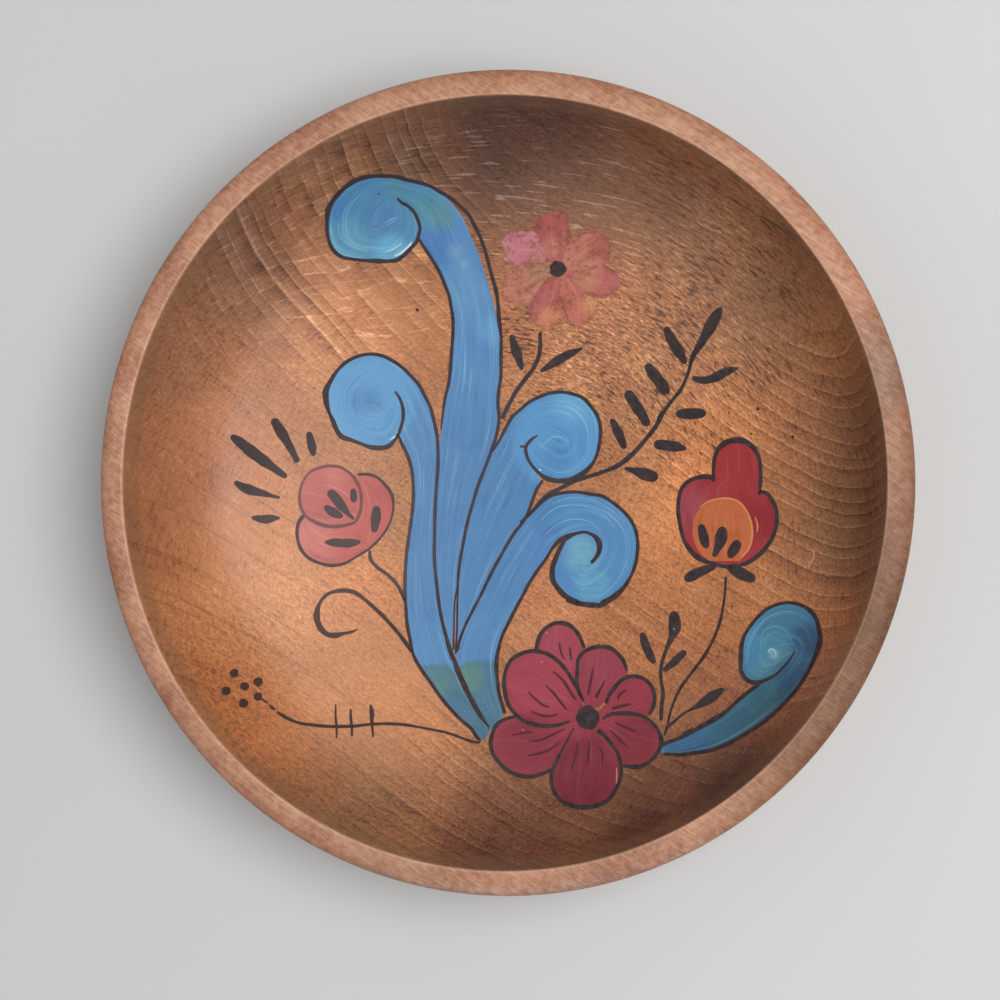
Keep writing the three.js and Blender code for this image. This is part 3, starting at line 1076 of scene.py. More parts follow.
SCROLL_OUTLINES = [
    [(397, 198, 2), (401, 202, 3), (408, 206, 3), (414, 212), (418, 220), (420, 229), (419, 234),
     (417, 241), (411, 248), (404, 255, 4.5), (397, 260, 4.5), (389, 261), (377, 261, 4.5), (366, 260.5),
     (352, 259), (342, 257), (335, 252, 4.5), (330, 244), (327.5, 234), (327, 222), (328, 210.5, 4.5),
     (332, 202), (340, 192), (351, 183), (362, 178), (373, 176), (386, 176), (397, 177), (408, 180),
     (421, 183), (432, 187), (442, 193), (452, 199), (460, 206), (469, 215), (474, 224.5), (480, 236.5),
     (484, 247), (488, 261), (492, 276.5), (496, 290.5, 4.5), (498, 303), (499, 319, 4.5), (501, 335),
     (501, 356), (500.5, 380), (499, 389), (498, 403), (499, 419), (497, 433), (492, 449), (484, 470.5),
     (478, 486), (473.5, 501), (468.6, 518), (463, 545), (458.5, 573, 3), (457.5, 600, 2), (457, 630, 2),
     (455.5, 654, 2)],
    [(458, 583, 1.5), (455, 600, 1.7), (454, 625, 1.7), (453.5, 650, 2)],
    [(418, 237, 2), (422, 244, 3), (428, 253), (435, 264), (441, 275), (445, 285), (449, 295), (451, 306),
     (453, 319), (453, 333), (452, 347), (451, 361), (449, 382), (445, 399, 3), (443, 413, 2.5),
     (441, 430, 1.5)],
    [(395, 391, 2), (400, 399, 3), (403, 409), (403, 419), (401, 427), (398, 435), (394, 441),
     (389, 446, 5), (379, 448, 5), (370, 447, 5), (362, 444), (351, 440, 4.5), (341, 436, 5),
     (337, 430.5, 5), (333, 421, 5), (329, 412), (326, 400, 6), (326, 390.5, 6), (330, 382, 5), (337, 371),
     (345, 363), (356, 357), (370, 354), (383, 356), (393, 361), (403, 368), (411, 376), (418, 383.5),
     (425, 396), (431, 409), (434, 421), (437, 435), (438, 451), (438, 466), (437, 480), (436, 494),
     (435, 515), (434.6, 536), (434.5, 560), (435.4, 572), (437, 587), (439, 604), (441.7, 619), (446, 636),
     (450, 650, 5), (453.6, 660, 6)],
    [(396, 434, 2), (399, 437, 3), (402, 444), (407, 454), (411, 466), (413, 480), (413.5, 494), (412, 515),
     (409, 536), (406.5, 555), (405.5, 569), (405, 583), (405, 594), (405.9, 608), (407.3, 625), (410, 639),
     (413.7, 655.8), (420.7, 668.4), (430.5, 682.4), (440.3, 696.5), (450, 708.4), (461.4, 720.3),
     (471.2, 728.7), (478.2, 738.6, 3), (481, 741, 2)],
    [(453.6, 658, 5), (458.6, 672.6, 5.5), (464.9, 686.6, 5.5), (471.2, 699.3, 5.5), (478.2, 711.9, 5),
     (483.8, 720.3, 3.5), (489.4, 727.3, 1.5)],
    [(492, 452, 2), (499, 441, 3), (507, 426), (513, 416), (520, 410), (528, 403), (539, 397), (550.5, 393),
     (562, 392), (573, 394), (583, 398), (591, 406.5), (597.5, 416), (600.6, 429), (600, 440), (598, 451),
     (593, 463), (587, 470, 5), (577, 477, 5.5), (566, 480.6, 5.5), (555, 480.6, 5.5), (546, 478, 5),
     (538, 472), (531, 464), (527, 456), (526, 447), (531, 440, 3), (538, 435, 1.5)],
    [(520, 446.5, 2.5), (526, 446.5, 2.5)],
    [(543, 480, 3), (537, 489), (533, 499), (529.5, 509), (525, 519), (514.5, 533), (507.5, 544),
     (500.5, 556.5), (493.6, 569), (486.6, 583), (480, 597, 3), (472.6, 611, 3), (465.6, 625, 3),
     (460.5, 638, 3), (456.5, 652, 3)],
    [(520, 523, 3), (532, 512), (541, 503), (550.5, 496), (562, 493), (576, 492), (590, 494), (602, 496),
     (612, 502), (622, 510), (630.5, 519.5), (635.3, 529), (637.7, 541.3), (637.4, 553.6), (634.5, 567.3),
     (629.5, 578.8), (621.5, 590.3, 5), (611.6, 598.5, 6), (603, 603.5, 6.5), (597.8, 607.5, 3)],
    [(566, 600.5, 3), (572, 602, 5), (582, 604, 5.5), (591, 605, 5.5), (600, 605, 4)],
    [(505, 714, 4), (502, 704), (499, 693), (497.6, 681), (496.6, 670, 4.5), (496.6, 660, 4.5),
     (498.6, 649), (502, 636.5), (508, 624), (515, 610), (522, 597), (530, 582), (538.6, 569),
     (545.6, 559.5), (554.2, 546), (560.3, 540, 5), (566.4, 537.5, 6), (571.8, 535, 4.5),
     (578.7, 532.9, 3.5), (584.8, 532.1, 3), (590.9, 534, 3.5), (596.5, 538, 5), (599.5, 544, 6),
     (599.3, 550.5, 5.5), (597, 556, 4.5), (594, 560, 4), (591, 563, 4.5)],
    [(567, 537, 3), (560.3, 548, 4.5), (556, 558, 5), (552.8, 567, 5.5), (552.3, 573.5, 6), (553, 580.3, 6),
     (557, 587, 5.5), (563, 594, 5.5), (570, 599, 5.5), (580, 602.5, 4)],
    [(661, 747, 2), (664.6, 744.2, 3), (675, 740), (686.3, 735), (698.9, 728, 4.5), (710.2, 721.7, 5),
     (720, 716, 4.5), (729.8, 708.4), (738.2, 700.7), (746.6, 693.7), (755.1, 687.3), (762, 681.5, 3)],
    [(663.9, 754, 3), (682.1, 754.7), (696.1, 752.9), (710.2, 750.5), (724.2, 745.6, 3.5),
     (738.2, 738.6, 3.5), (752.2, 730.1, 3.5), (766.3, 720.3, 3.5), (778.9, 709.1, 3.5),
     (790.8, 696.5, 3.5), (800, 685.2, 3.5), (807.7, 672.6, 3.5), (814, 660, 4), (818.2, 648.8, 5),
     (820.5, 640.3, 5), (819.2, 629.1, 4.5), (816.6, 619.3, 4.5), (810.5, 610.9, 4.5), (801.4, 605.3),
     (790.1, 602.9), (778.9, 604.1), (767.7, 608.8), (757.9, 617.2), (749.4, 627.7), (743.8, 637.5),
     (741.3, 648.8, 4.5), (741, 660, 4.5), (741.3, 671.2, 4.5), (745.2, 678.2, 4.5), (753.7, 682.8, 4.5),
     (762, 681.5), (769, 678.7, 3), (776.8, 674, 2.5), (784.5, 666.3, 2), (790.8, 658.6, 1.8),
     (795, 651.6, 1)],
    [(682, 734.5, 1), (686, 732, 1.5), (692, 728.5, 1)],
]

LEAFY_BRANCH = [
    [(527, 517, 3), (536.5, 506, 3.5), (546, 496, 4), (559, 489, 4.5), (573, 482, 4.5), (587, 477, 4),
     (600, 473), (618.2, 465.4, 5), (630.9, 455.6, 5), (646.3, 438.7, 4.5), (656.1, 426.1, 4.5),
     (663.1, 413.5), (673, 399.4, 3.5), (680, 391, 3.5), (685.6, 379.8, 3), (689.1, 370, 3.5),
     (692, 359, 4.5), (701, 343.3, 8), (708, 331, 12), (715, 318, 11.5), (721.4, 307.5, 4)],
    [(657, 421, 1), (659, 416, 2), (662, 411, 1)],
    [(665.5, 327, 6), (671.4, 339.1, 11), (679, 351.7, 10.5), (685.6, 363.7, 5)],
    [(646.5, 364, 8), (654.7, 375.6, 12.5), (663.1, 386.8, 12), (667.6, 395.5, 7)],
    [(626.5, 391, 8), (633.7, 402.2, 12), (642.1, 414.9, 11), (648, 426, 7)],
    [(611.5, 419, 6), (617, 430, 9), (622, 441, 8.5), (624.6, 449, 5)],
    [(691.9, 377.7, 4), (703.8, 380.3, 8), (715.1, 377.5, 9.5), (726, 371.8, 8.5), (738.2, 367.9, 2)],
    [(676, 413.7, 9), (686, 413.8, 10.5), (698, 413.5, 10.5), (706, 413.2, 6)],
    [(654, 444.3, 8), (663.1, 445, 10.5), (675.8, 446.6, 11), (686.5, 449, 4)],
    [(624.6, 468.2, 3), (635.1, 471, 8), (646.3, 474.6, 12.5), (658, 478, 10)],
]
SMALL_SPRIG = [
    [(540.1, 332, 3.5), (540.3, 343.1, 4), (538.9, 355.7, 4.5), (533.3, 368.4, 4.5), (524.9, 379.6, 4.5),
     (516.5, 390.8, 4.5), (509.5, 403.5, 4.5), (505.3, 412, 4.5), (502, 419, 4)],
    [(511.2, 334.5, 4), (515, 347.3, 9.5), (519, 359, 8.5), (522.1, 370, 3.5)],
    [(540.6, 371.6, 3.5), (555.8, 361.8, 9), (569.8, 353.8, 8.5), (582.5, 348.2, 2.5)],
]
SPRIG_BY_TULIP = [
    [(661, 721, 3.5), (661.7, 706.3, 4), (663, 692.3, 4), (661, 678.2, 3.5), (661, 669, 3.5),
     (663.2, 658.6, 3.5), (667.4, 647.3, 4), (671, 639, 7), (674.8, 627, 12.5), (674.2, 617, 11),
     (673.7, 611, 6)],
    [(642, 632.5, 6), (645.6, 645, 8.5), (650.5, 656, 8), (654.7, 663.5, 5)],
    [(663.5, 671, 4.5), (672, 664, 7), (681, 655.5, 8), (686, 651, 6)],
    [(665.5, 729, 2.5), (673.7, 722.2, 3), (682.1, 714.7, 2.5), (690.5, 709.8, 3), (696.1, 707, 4),
     (705, 701.5, 9), (715.5, 694.5, 10), (724, 689, 4)],
]
TULIP_STEM = [
    [(725.9, 576.5, 3), (725.6, 585.6, 2.5), (724.9, 594, 2.5), (723.5, 605.3, 2.5), (720.7, 619.3, 3),
     (717.2, 630.5, 3), (711.6, 643.1, 3), (704.5, 655.8, 3.5), (696.1, 667, 3), (687.7, 678.2, 3),
     (680.7, 688, 3), (675.1, 699.3, 2.5), (670.2, 713.3, 2.5), (667.4, 725.9, 2.5), (664.6, 735.7, 2)],
]
TENDRIL = [
    [(357.5, 629.4, 1.5), (351.9, 631.9, 2.5), (343.5, 633.6, 3.5), (335.1, 635.4, 6), (328.1, 634.7, 5.5),
     (322.4, 630.5, 6), (318.2, 623.5, 6), (316.8, 616.5, 6.5), (317.5, 609.5, 5), (321, 601, 3.5),
     (328.1, 594, 4), (336.5, 591.2, 4), (344.9, 590.5, 4.5), (354.7, 592.6, 4.5), (363.1, 598.2),
     (373, 606.7), (382.8, 615.8), (391.2, 624.9), (399.6, 634.7), (408, 646), (412, 652, 4)],
]
BUD_STEM = [
    [(369.8, 550.1, 3), (370.5, 558.6, 3.5), (376.8, 567, 3.5), (386.6, 574, 3.5), (396.4, 583.8, 3.5),
     (402.1, 593.6, 3.5), (404.9, 602, 2)],
]
RAYS = [
    [(273, 418.5, 7), (279, 428.5, 10.5), (285.6, 439.3, 10), (292.6, 451.9, 7), (298, 462.5, 6)],
    [(231, 435.5, 5), (240.7, 442.8, 11), (251.9, 451.9, 12.5), (263.1, 460.3, 11), (275.8, 469.5, 8),
     (286.7, 477.2, 6.5)],
    [(234.5, 481.6, 4), (242.1, 486.5, 9), (251.9, 490.5, 9.5), (263.1, 493.3, 7), (273, 496.1, 4),
     (280, 497.6, 3.5)],
    [(251.5, 517.2, 2), (258, 518.5, 7), (264.5, 519.3, 8.5), (272, 518.4, 7.5), (280, 517.8, 2.5)],
    [(308.7, 431.8, 5), (310.5, 440, 8.5), (312.5, 449, 8.5), (313.4, 456, 5)],
]
DOT_FLOWER = [
    [(261.7, 698.6, 1), (264.5, 701, 1.6), (267.4, 703.4, 1)],
    [(269.3, 705.2, 1.2), (272.2, 707.8, 2.6), (275.2, 710.2, 1.2)],
    [(276.6, 711.6, 1), (280, 714, 2.6), (289.8, 719.6, 2.6), (299.6, 723.1, 2.5), (310.8, 724.8, 3),
     (323.5, 726.2, 3), (340.3, 726.6, 3.5), (354.3, 726.2, 3), (368.4, 724.5, 3), (382.4, 723.8, 3),
     (396.4, 724.1, 3), (407.7, 725.2, 3), (423.5, 728, 2.5), (434.7, 730.1, 2.5), (447.3, 732.9, 2.5),
     (461.4, 737.9, 2.5), (471.2, 741.4, 3), (480.3, 742.8, 2)],
    [(335.8, 704, 1.2), (335.6, 716, 2.2), (336.6, 728, 2.4), (336.4, 738.5, 1.2)],
    [(350.6, 709, 2), (350.9, 718, 2.8), (351.8, 728, 2.6), (352, 736.5, 1.5)],
    [(370.5, 704.5, 2), (371.8, 712, 5), (371.9, 720, 3.4), (372.4, 728, 2.8), (373.3, 737.2, 1.5)],
]
DOTS = [
    (234.3, 673.3, 4.4), (258.1, 681.9, 4.6), (244.4, 686.4, 4.3), (226, 691, 4.5), (258, 696.7, 4.2),
    (243.4, 703.3, 4.7),
]
# Small marks of use on the wood and the paint
SCRATCHES = [
    [(811, 549, 1), (814, 553, 1.2), (813, 558, 1.3), (810.5, 563, 1.3), (808.5, 569, 1)],
    [(807, 561, 0.8), (810, 562.5, 1)],
    [(616.5, 768, 0.8), (617, 776, 1.2), (616.2, 784, 0.8)],
    [(546, 632, 0.8), (547.5, 634, 1.2)],
    [(541, 661, 0.8), (542.4, 662.4, 1.2)],
    [(522.4, 729, 0.8), (523.6, 730.6, 1)],
    [(666, 394, 1), (667.6, 395.6, 1.2)],
    [(673.4, 628.4, 1), (674.6, 629.8, 1.2)],
]
PITS = [
    [(756.6, 408, 3), (759.4, 409.6, 4)],
    [(791.6, 436.2, 2.6), (794.2, 437.6, 3.4)],
    [(416, 308.4, 2), (418.4, 311.4, 3)],
    [(728.4, 412.4, 1.6), (729.8, 413.4, 2)],
    [(750.2, 433.4, 1.6), (751.8, 434.2, 2)],
    [(714.4, 447.2, 1.8), (715.8, 448.4, 2.2)],
    [(377.6, 193.4, 1.2), (380, 194.4, 1.4)],
]

CRIMSON_CENTRE = (587.8, 717.9, 12.2)
CRIMSON_PETALS = [
    ([(574, 700), (560, 672), (545, 655), (536, 650.5), (538.2, 640.7), (542.4, 631.6), (550.2, 625.3),
     (558, 622.8)],
     [(586, 702), (580, 675), (583, 655), (584.5, 648.4), (580.3, 637.9), (575.4, 630.2), (567, 624.1),
      (559, 622.7)]),
    ([(582, 718), (569.8, 721.4), (545.9, 726), (523.5, 720.7), (508.1, 703.8), (504.1, 685)],
     [(584, 708), (574, 682.8), (558.6, 661.7), (530.5, 651.2), (510.9, 660.3), (504.5, 681)]),
    ([(585, 706), (578.2, 689.8), (577, 672), (582.4, 653.3), (590.8, 648.4), (598, 646.8)],
     [(598, 708), (612, 694), (628, 677), (623.8, 661.7), (614, 650.5), (602, 646.7)]),
    ([(598, 712), (606.3, 703.8), (613.3, 689.8), (628.7, 676.9), (640, 677), (650, 685)],
     [(599, 722), (621, 722), (649.1, 715.1), (654.7, 698.2), (653.5, 691), (651, 686)]),
    ([(598, 718), (610.5, 714.4), (632.9, 713.9), (651.2, 722.1), (661, 737), (660.5, 742)],
     [(594, 728), (603.5, 736), (618.2, 756), (623.1, 765.6), (645.6, 764.2), (659.6, 748.7), (661, 743)]),
    ([(582, 724), (567, 740.3), (555.8, 762.8), (551.6, 782.4), (561.4, 800.6), (577, 806.8)],
     [(594, 724), (603.5, 734.7), (618.2, 754.3), (620.3, 778.2), (609.1, 799.2), (586, 807.4)]),
    ([(581, 720), (560, 722), (530, 722), (514, 716.5), (496.8, 724.9), (491, 741)],
     [(585, 728), (567, 740.3), (551.6, 769.8), (529.1, 776.8), (506.7, 769.8), (491.5, 748)]),
]
CRIMSON_LINES = [
    [(536.1, 650.5), (538.2, 640.7, 4.5), (542.4, 631.6), (550.2, 625.3), (558.6, 622.7, 4.5),
     (567, 624.1, 4.5), (575.4, 630.2), (580.3, 637.9), (584.5, 648.4)],
    [(583, 700, 3), (574, 682.8, 4), (567, 671.6), (558.6, 661.7), (550.2, 655.4), (540.3, 651.9, 4.5),
     (530.5, 651.2, 4.5), (520.7, 654), (510.9, 660.3), (506, 670.2), (504.1, 681.4, 4.5),
     (505, 692.6, 4.5), (508.1, 703.8), (515.1, 713.7), (523.5, 720.7), (533.3, 724.2, 4.5),
     (545.9, 726, 4.5), (558.6, 724.9, 4), (569.8, 721.4, 2)],
    [(584, 702, 2.5), (578.2, 689.8), (576.8, 681.4, 4), (577.5, 670.2), (578.2, 660.3), (582.4, 653.3),
     (590.8, 648.4), (600.7, 646.7, 4.5), (610.5, 648.4, 4.5), (618.2, 654), (623.8, 661.7), (627, 671, 3)],
    [(606.3, 703.8, 4), (608.4, 696.8, 4), (613.3, 689.8, 5), (620.3, 681.4), (628.7, 676.9),
     (637.1, 676.5), (645.6, 680), (651.9, 687), (654.7, 698.2), (653.3, 706.6), (649.1, 715.1, 3)],
    [(602.1, 719.3, 2), (610.5, 714.4, 4), (621.7, 713.4, 4.5), (632.9, 713.9, 4.5), (642.8, 716.5),
     (651.2, 722.1), (658.2, 730.5), (661.3, 740.3, 4.5), (659.6, 748.7), (654, 757.1), (645.6, 764.2),
     (635.7, 767, 4.5), (623.1, 765.6, 3)],
    [(574, 728, 1.5), (567, 740.3, 2.5), (561.4, 751.5, 3), (555.8, 762.8), (552.3, 771.2), (551.6, 782.4),
     (554.4, 792.2), (561.4, 800.6), (571.2, 805.6), (583.8, 807.4, 4.5), (596.5, 805.6), (609.1, 799.2),
     (616.1, 789.4), (620.3, 778.2), (621, 765.6), (618.2, 754.3), (611.9, 744.5), (603.5, 734.7, 5),
     (597.5, 730, 6)],
    [(516, 716.5, 2.5), (505.3, 719.3, 4), (496.8, 724.9, 4.5), (492.6, 733.3), (490.9, 743.1, 4.5),
     (492.6, 752.9), (498.2, 761.4), (506.7, 769.8), (516.5, 774.7), (529.1, 776.8, 4.5), (541.7, 774),
     (551.6, 769.8, 3)],
]
CRIMSON_VEINS = [
    [(559.3, 642.8, 1.5), (561, 652, 2.2), (564.2, 659.6, 1.5)],
    [(569.8, 647, 1.5), (570.5, 654, 2.2), (571.9, 660.3, 1.5)],
    [(553, 671.6, 1.5), (562.8, 680, 2.6), (569.8, 691.2, 2.8), (575.4, 699.6, 2)],
    [(545.9, 685.6, 1.5), (554.4, 694, 2.6), (561.4, 703.1, 2.6), (567, 710.1, 1.8)],
    [(528.4, 691.9, 1.3), (536.1, 699.6, 2.2), (543.1, 705.2, 2.4), (549.5, 707.3, 1.6)],
    [(531.2, 711.5, 1.3), (540.3, 715.1, 2.6), (550.2, 716.2, 2.6), (557.9, 714.4, 1.6)],
    [(593, 667.4, 1.3), (590.8, 681.4, 2.6), (588, 695.4, 2)],
    [(604.9, 680.7, 1.3), (599.3, 691.2, 3), (595.8, 698.2, 3.8)],
    [(627.3, 689.8, 1.3), (620.3, 694, 2.6), (617.5, 699.6, 2.2)],
    [(631.5, 703.8, 1.3), (623.1, 705.9, 3), (611.9, 708.7, 3.8)],
    [(614.7, 722.1, 1.5), (624.5, 727, 2.6), (635.7, 731.2, 1.5)],
    [(610.5, 730.5, 1.5), (618.9, 738.9, 2.6), (627.3, 747.3, 1.5)],
    [(578.2, 741.7, 1.5), (575.4, 757.1, 2.6), (571.2, 769.8, 1.5)],
    [(589.4, 740.3, 1.3), (588.7, 751.5, 2.6), (587.3, 764.2, 1.5)],
    [(598.6, 745.9, 1.3), (602.1, 752.9, 2.4), (602.1, 762.8, 1.3)],
    [(564.2, 729.1, 1.3), (550.2, 736.1, 2.4), (540.3, 740.3, 2.4), (529.1, 741.7, 1.3)],
    [(558.6, 743.1, 1.3), (550.2, 749.4, 2.4), (538.9, 753.6, 2.6), (527.7, 755.7, 1.3)],
    [(533.3, 731.9, 1.3), (522.1, 733.3, 2.2), (511.6, 735.4, 1.3)],
]

TULIP_BODY = (
    [(716, 564), (704.5, 561), (696.1, 556.1), (688.4, 547.7), (682.8, 536.5), (680, 523.8), (678.2, 509.8),
     (679, 498.6), (682.1, 488.1), (689.1, 481), (698.9, 477.5), (707.3, 476.4), (714.5, 475)],
    [(732, 566), (750.8, 561), (760.7, 553.3), (769.1, 543.5), (774.7, 532.2), (777.2, 519.6),
     (776.1, 509.8), (771.9, 500), (766.3, 493), (760, 491), (760, 484), (760.5, 478), (760.7, 475)],
)
TULIP_TOP = (
    [(714.5, 478), (713.7, 467.7), (715.1, 456.5), (719.3, 448.1), (725.6, 442.5), (735, 440)],
    [(760.7, 478), (760.4, 467.7), (758.6, 456.5), (753.7, 448.1), (746.6, 441.7), (738, 440)],
)
TULIP_DISC = (
    [(709, 561), (700, 553), (694, 541), (692.6, 527), (698, 511), (709, 502), (724, 499)],
    [(740, 561), (748.7, 550), (752, 537), (751.5, 524), (746.6, 511.2), (738.2, 502), (727, 499)],
)
TULIP_LINES = [
    [(713.7, 482, 3), (713.7, 467.7), (715.1, 456.5), (719.3, 448.1, 5), (725.6, 442.8, 6),
     (732.6, 440.5, 6.5), (739.6, 440.2, 6.5), (746.6, 442.3, 6), (753.7, 448.1, 4.5), (758.6, 456.5),
     (760.4, 467.7), (760.7, 480.3), (759.3, 495, 3)],
    [(714.5, 478.5, 5), (707.3, 476.6, 5.5), (698.9, 477.5, 4.5), (689.1, 481), (682.1, 488.1, 4.5),
     (679, 498.6), (678.2, 509.8), (680, 523.8), (682.8, 536.5), (688.4, 547.7, 4.5), (696.1, 556.1, 5.5),
     (704.5, 561, 5), (715.8, 564.5, 4.5), (724.2, 566.4), (733, 566.4, 4.5), (741, 565.2),
     (750.8, 561, 4.5), (760.7, 553.3, 4.5), (769.1, 543.5), (774.7, 532.2), (777.2, 519.6), (776.1, 509.8),
     (771.9, 500), (766.3, 493), (759.3, 491.4, 3)],
    [(684.5, 579.8, 7), (690, 577, 9.5), (696.1, 573.8, 10.5), (705.9, 569.6, 9), (716, 567, 4)],
    [(727, 567, 4), (738.2, 572.2, 11), (748, 576.8, 12), (755.5, 579.3, 9)],
]
TULIP_SEEDS = [
    [(701, 524, 5), (702.2, 530, 9.5), (703.8, 537, 10.5), (706, 545, 8), (707.3, 548.4, 4)],
    [(722.8, 526.5, 7), (721.8, 535, 12.5), (719.5, 544, 10), (716, 552, 7), (714, 557, 4.5)],
    [(739, 540.5, 6), (735.5, 547, 11), (731.5, 553.5, 9), (729, 558, 5)],
]
TULIP_RINGS = [
    [(700, 507, 1), (707.3, 502.2, 1.6), (718.6, 498.8, 1.8), (729.8, 498.6, 1.8), (738.2, 501.4, 2),
     (746.6, 511.2, 2), (751.5, 523.8, 2), (752.2, 536.5, 2), (748.7, 549.1, 2), (741, 557.5, 1.6)],
    [(755.1, 516.8, 1), (757.6, 525, 1.6), (757.2, 532.2, 1)],
]

# Pale brush strokes on the scroll heads. The first and the ninth are painted glints, where raised paint
# edges catch the light.
PALE_STROKES_AND_GLINTS = [
    [(394, 256, 1), (401, 253, 2.5), (407, 248.5, 3), (412, 242, 1.2)],
    [(332, 240, 0.8), (335.5, 248, 1.6), (341, 253, 1.4), (352, 256.5, 1.2), (364, 258, 0.8)],
    [(331, 224, 0.8), (331, 232, 1.2), (334, 241, 1.2), (339, 248, 1), (346, 252.5, 0.6)],
    [(338, 222, 0.6), (339, 232, 0.9), (345, 242, 0.9), (355, 248, 0.9), (368, 251, 0.6)],
    [(384, 252.5, 0.6), (393, 249, 1), (402, 243, 0.7)],
    [(385, 223, 0.5), (391, 219.5, 1.1), (397, 217, 0.7)],
    [(386, 226, 0.5), (392, 222, 0.8), (396, 219.5, 0.5)],
    [(389, 440, 0.8), (395, 436.5, 1.8), (398.5, 430, 0.8)],
    [(402, 437, 0.6), (404, 446, 1.1), (407, 455, 0.6)],
    [(370, 404, 0.5), (376, 407, 0.8), (379, 412, 0.5)],
    [(358, 415, 0.5), (366, 420, 0.8), (375, 418, 0.5)],
    [(389, 362, 0.6), (395, 366, 1.2), (401, 371, 0.6)],
    [(541, 448, 0.7), (548, 440, 1.2), (556, 436.5, 1.7), (563, 438, 1.2), (570, 445, 0.7)],
    [(556, 403, 0.6), (565, 402, 1.2), (574, 405, 1.4), (582, 411, 1), (588, 418, 0.6)],
    [(591, 411, 0.5), (595, 422, 1), (596, 434, 0.6)],
    [(539.5, 469.5, 2), (541, 470.5, 2)],
    [(552, 503, 0.5), (568, 498, 0.9), (585, 498, 0.9), (602, 504, 0.8), (615, 513, 0.5)],
    [(541, 520, 0.5), (556, 508, 0.9), (574, 505, 0.9), (592, 508, 0.8), (606, 516, 0.7), (615, 528, 0.5)],
    [(545, 535, 0.5), (558, 524, 0.8), (575, 519, 1), (592, 523, 0.8), (602, 532, 0.5)],
    [(570, 575, 0.5), (578, 583, 1.1), (588, 584, 1), (598, 577, 0.6)],
    [(576, 568, 0.5), (581, 575, 0.9), (589, 576, 0.7)],
    [(761, 652, 0.6), (761, 640, 1.3), (765, 631, 1.5), (773, 626.5, 1.9), (782, 628, 1.7), (789, 635, 1.3),
     (793, 645, 0.6)],
    [(760, 655, 0.5), (763, 645, 0.9), (768, 636, 1.1), (776, 632, 1), (783, 636, 0.6)],
    [(768, 653, 0.8), (770, 649.5, 1.8), (774, 650, 2), (776, 654, 1.6), (774, 658, 0.9)],
    [(778, 646, 0.5), (781, 651, 0.9), (779, 659, 0.8), (774, 665, 0.5)],
]

BUD_LEFT = (
    [(357, 522), (340, 526.5), (326.3, 525.6), (315.1, 522.1), (306.6, 516.5), (301.7, 509.4),
     (299.6, 498)],
    [(361, 505), (360, 489.8), (355.7, 480), (340.3, 467.4), (325, 466.3), (310.8, 471.6), (301, 488)],
)
BUD_RIGHT = (
    [(356, 473.5), (368.4, 474.4), (376.8, 477.2), (385.2, 484.9), (391.5, 494), (393.3, 503.8),
     (391.5, 517.9), (386.6, 529.1), (378.2, 540.3), (368.4, 549.4)],
    [(352, 478), (357, 485), (358, 495), (358, 508), (357, 518), (354, 526), (352, 534), (354, 542),
     (360, 547), (366, 550)],
)
BUD_BOTTOM = (
    [(303.8, 515), (298.9, 522.1), (297.1, 530.5), (298.2, 541.7), (302.4, 551.5), (310.8, 559.3),
     (320.7, 563.5), (333.3, 565.6), (344.5, 563.5), (355.7, 557.1), (368, 549)],
    [(304, 514), (312, 520), (320, 524), (328, 526), (337, 527), (345, 526), (352, 524), (357, 526),
     (362, 532), (366, 540), (370, 546)],
)
BUD_BLACK_LINES = [
    [(357.5, 474.4, 3), (368.4, 474.4, 3), (376.8, 477.2, 3), (385.2, 484.9, 3.2), (391.5, 494, 3.5),
     (393.3, 503.8, 2.5), (391.5, 517.9, 2.2), (386.6, 529.1, 2.4), (378.2, 540.3, 2.4),
     (368.4, 549.4, 2.6), (355.7, 557.1, 2.6), (344.5, 563.5, 3), (333.3, 565.6, 3.5), (320.7, 563.5, 3.5),
     (310.8, 559.3, 3.4), (302.4, 551.5, 3.4), (298.2, 541.7, 3.2), (297.1, 530.5, 3.6), (298.9, 522.1, 4),
     (303.8, 515.1, 3.6)],
    [(328.5, 490.5, 7), (334.7, 497, 11), (342, 506.5, 9), (349, 514.5, 4.5), (354.3, 519.5, 2)],
    [(353.3, 488.5, 5), (353.6, 495.4, 8), (354, 502.5, 5)],
    [(324.5, 505.8, 5), (330.5, 510.6, 9.5), (337.5, 514.6, 8.5), (343, 516.8, 4)],
    [(376.6, 506, 8), (376.3, 514, 10), (375, 524, 8.5), (374, 532.5, 6)],
    [(324.8, 542.3, 3), (333, 542.4, 8.5), (343, 543.2, 9.5), (353, 542.8, 7.5), (360.5, 541.6, 4)],
]
BUD_BROWN_LINES = [
    [(355.7, 522.1, 3), (348.7, 524.4, 3.5), (337.5, 526.5, 4), (326.3, 525.8, 4), (315.1, 522.1, 4),
     (306.6, 516.5, 3.5), (301.7, 509.4, 3.5), (299.6, 501, 3), (300.3, 489.8, 2.5), (303.8, 480, 2.5),
     (310.8, 471.6, 2.5), (320.7, 467.4, 3), (329.8, 465.9, 3), (340.3, 467.4, 3), (348.7, 472.3, 3),
     (355.7, 480, 3.5), (360, 489.8, 3), (361.4, 501, 3), (360, 512.2, 3), (355.7, 522.1, 3)],
]

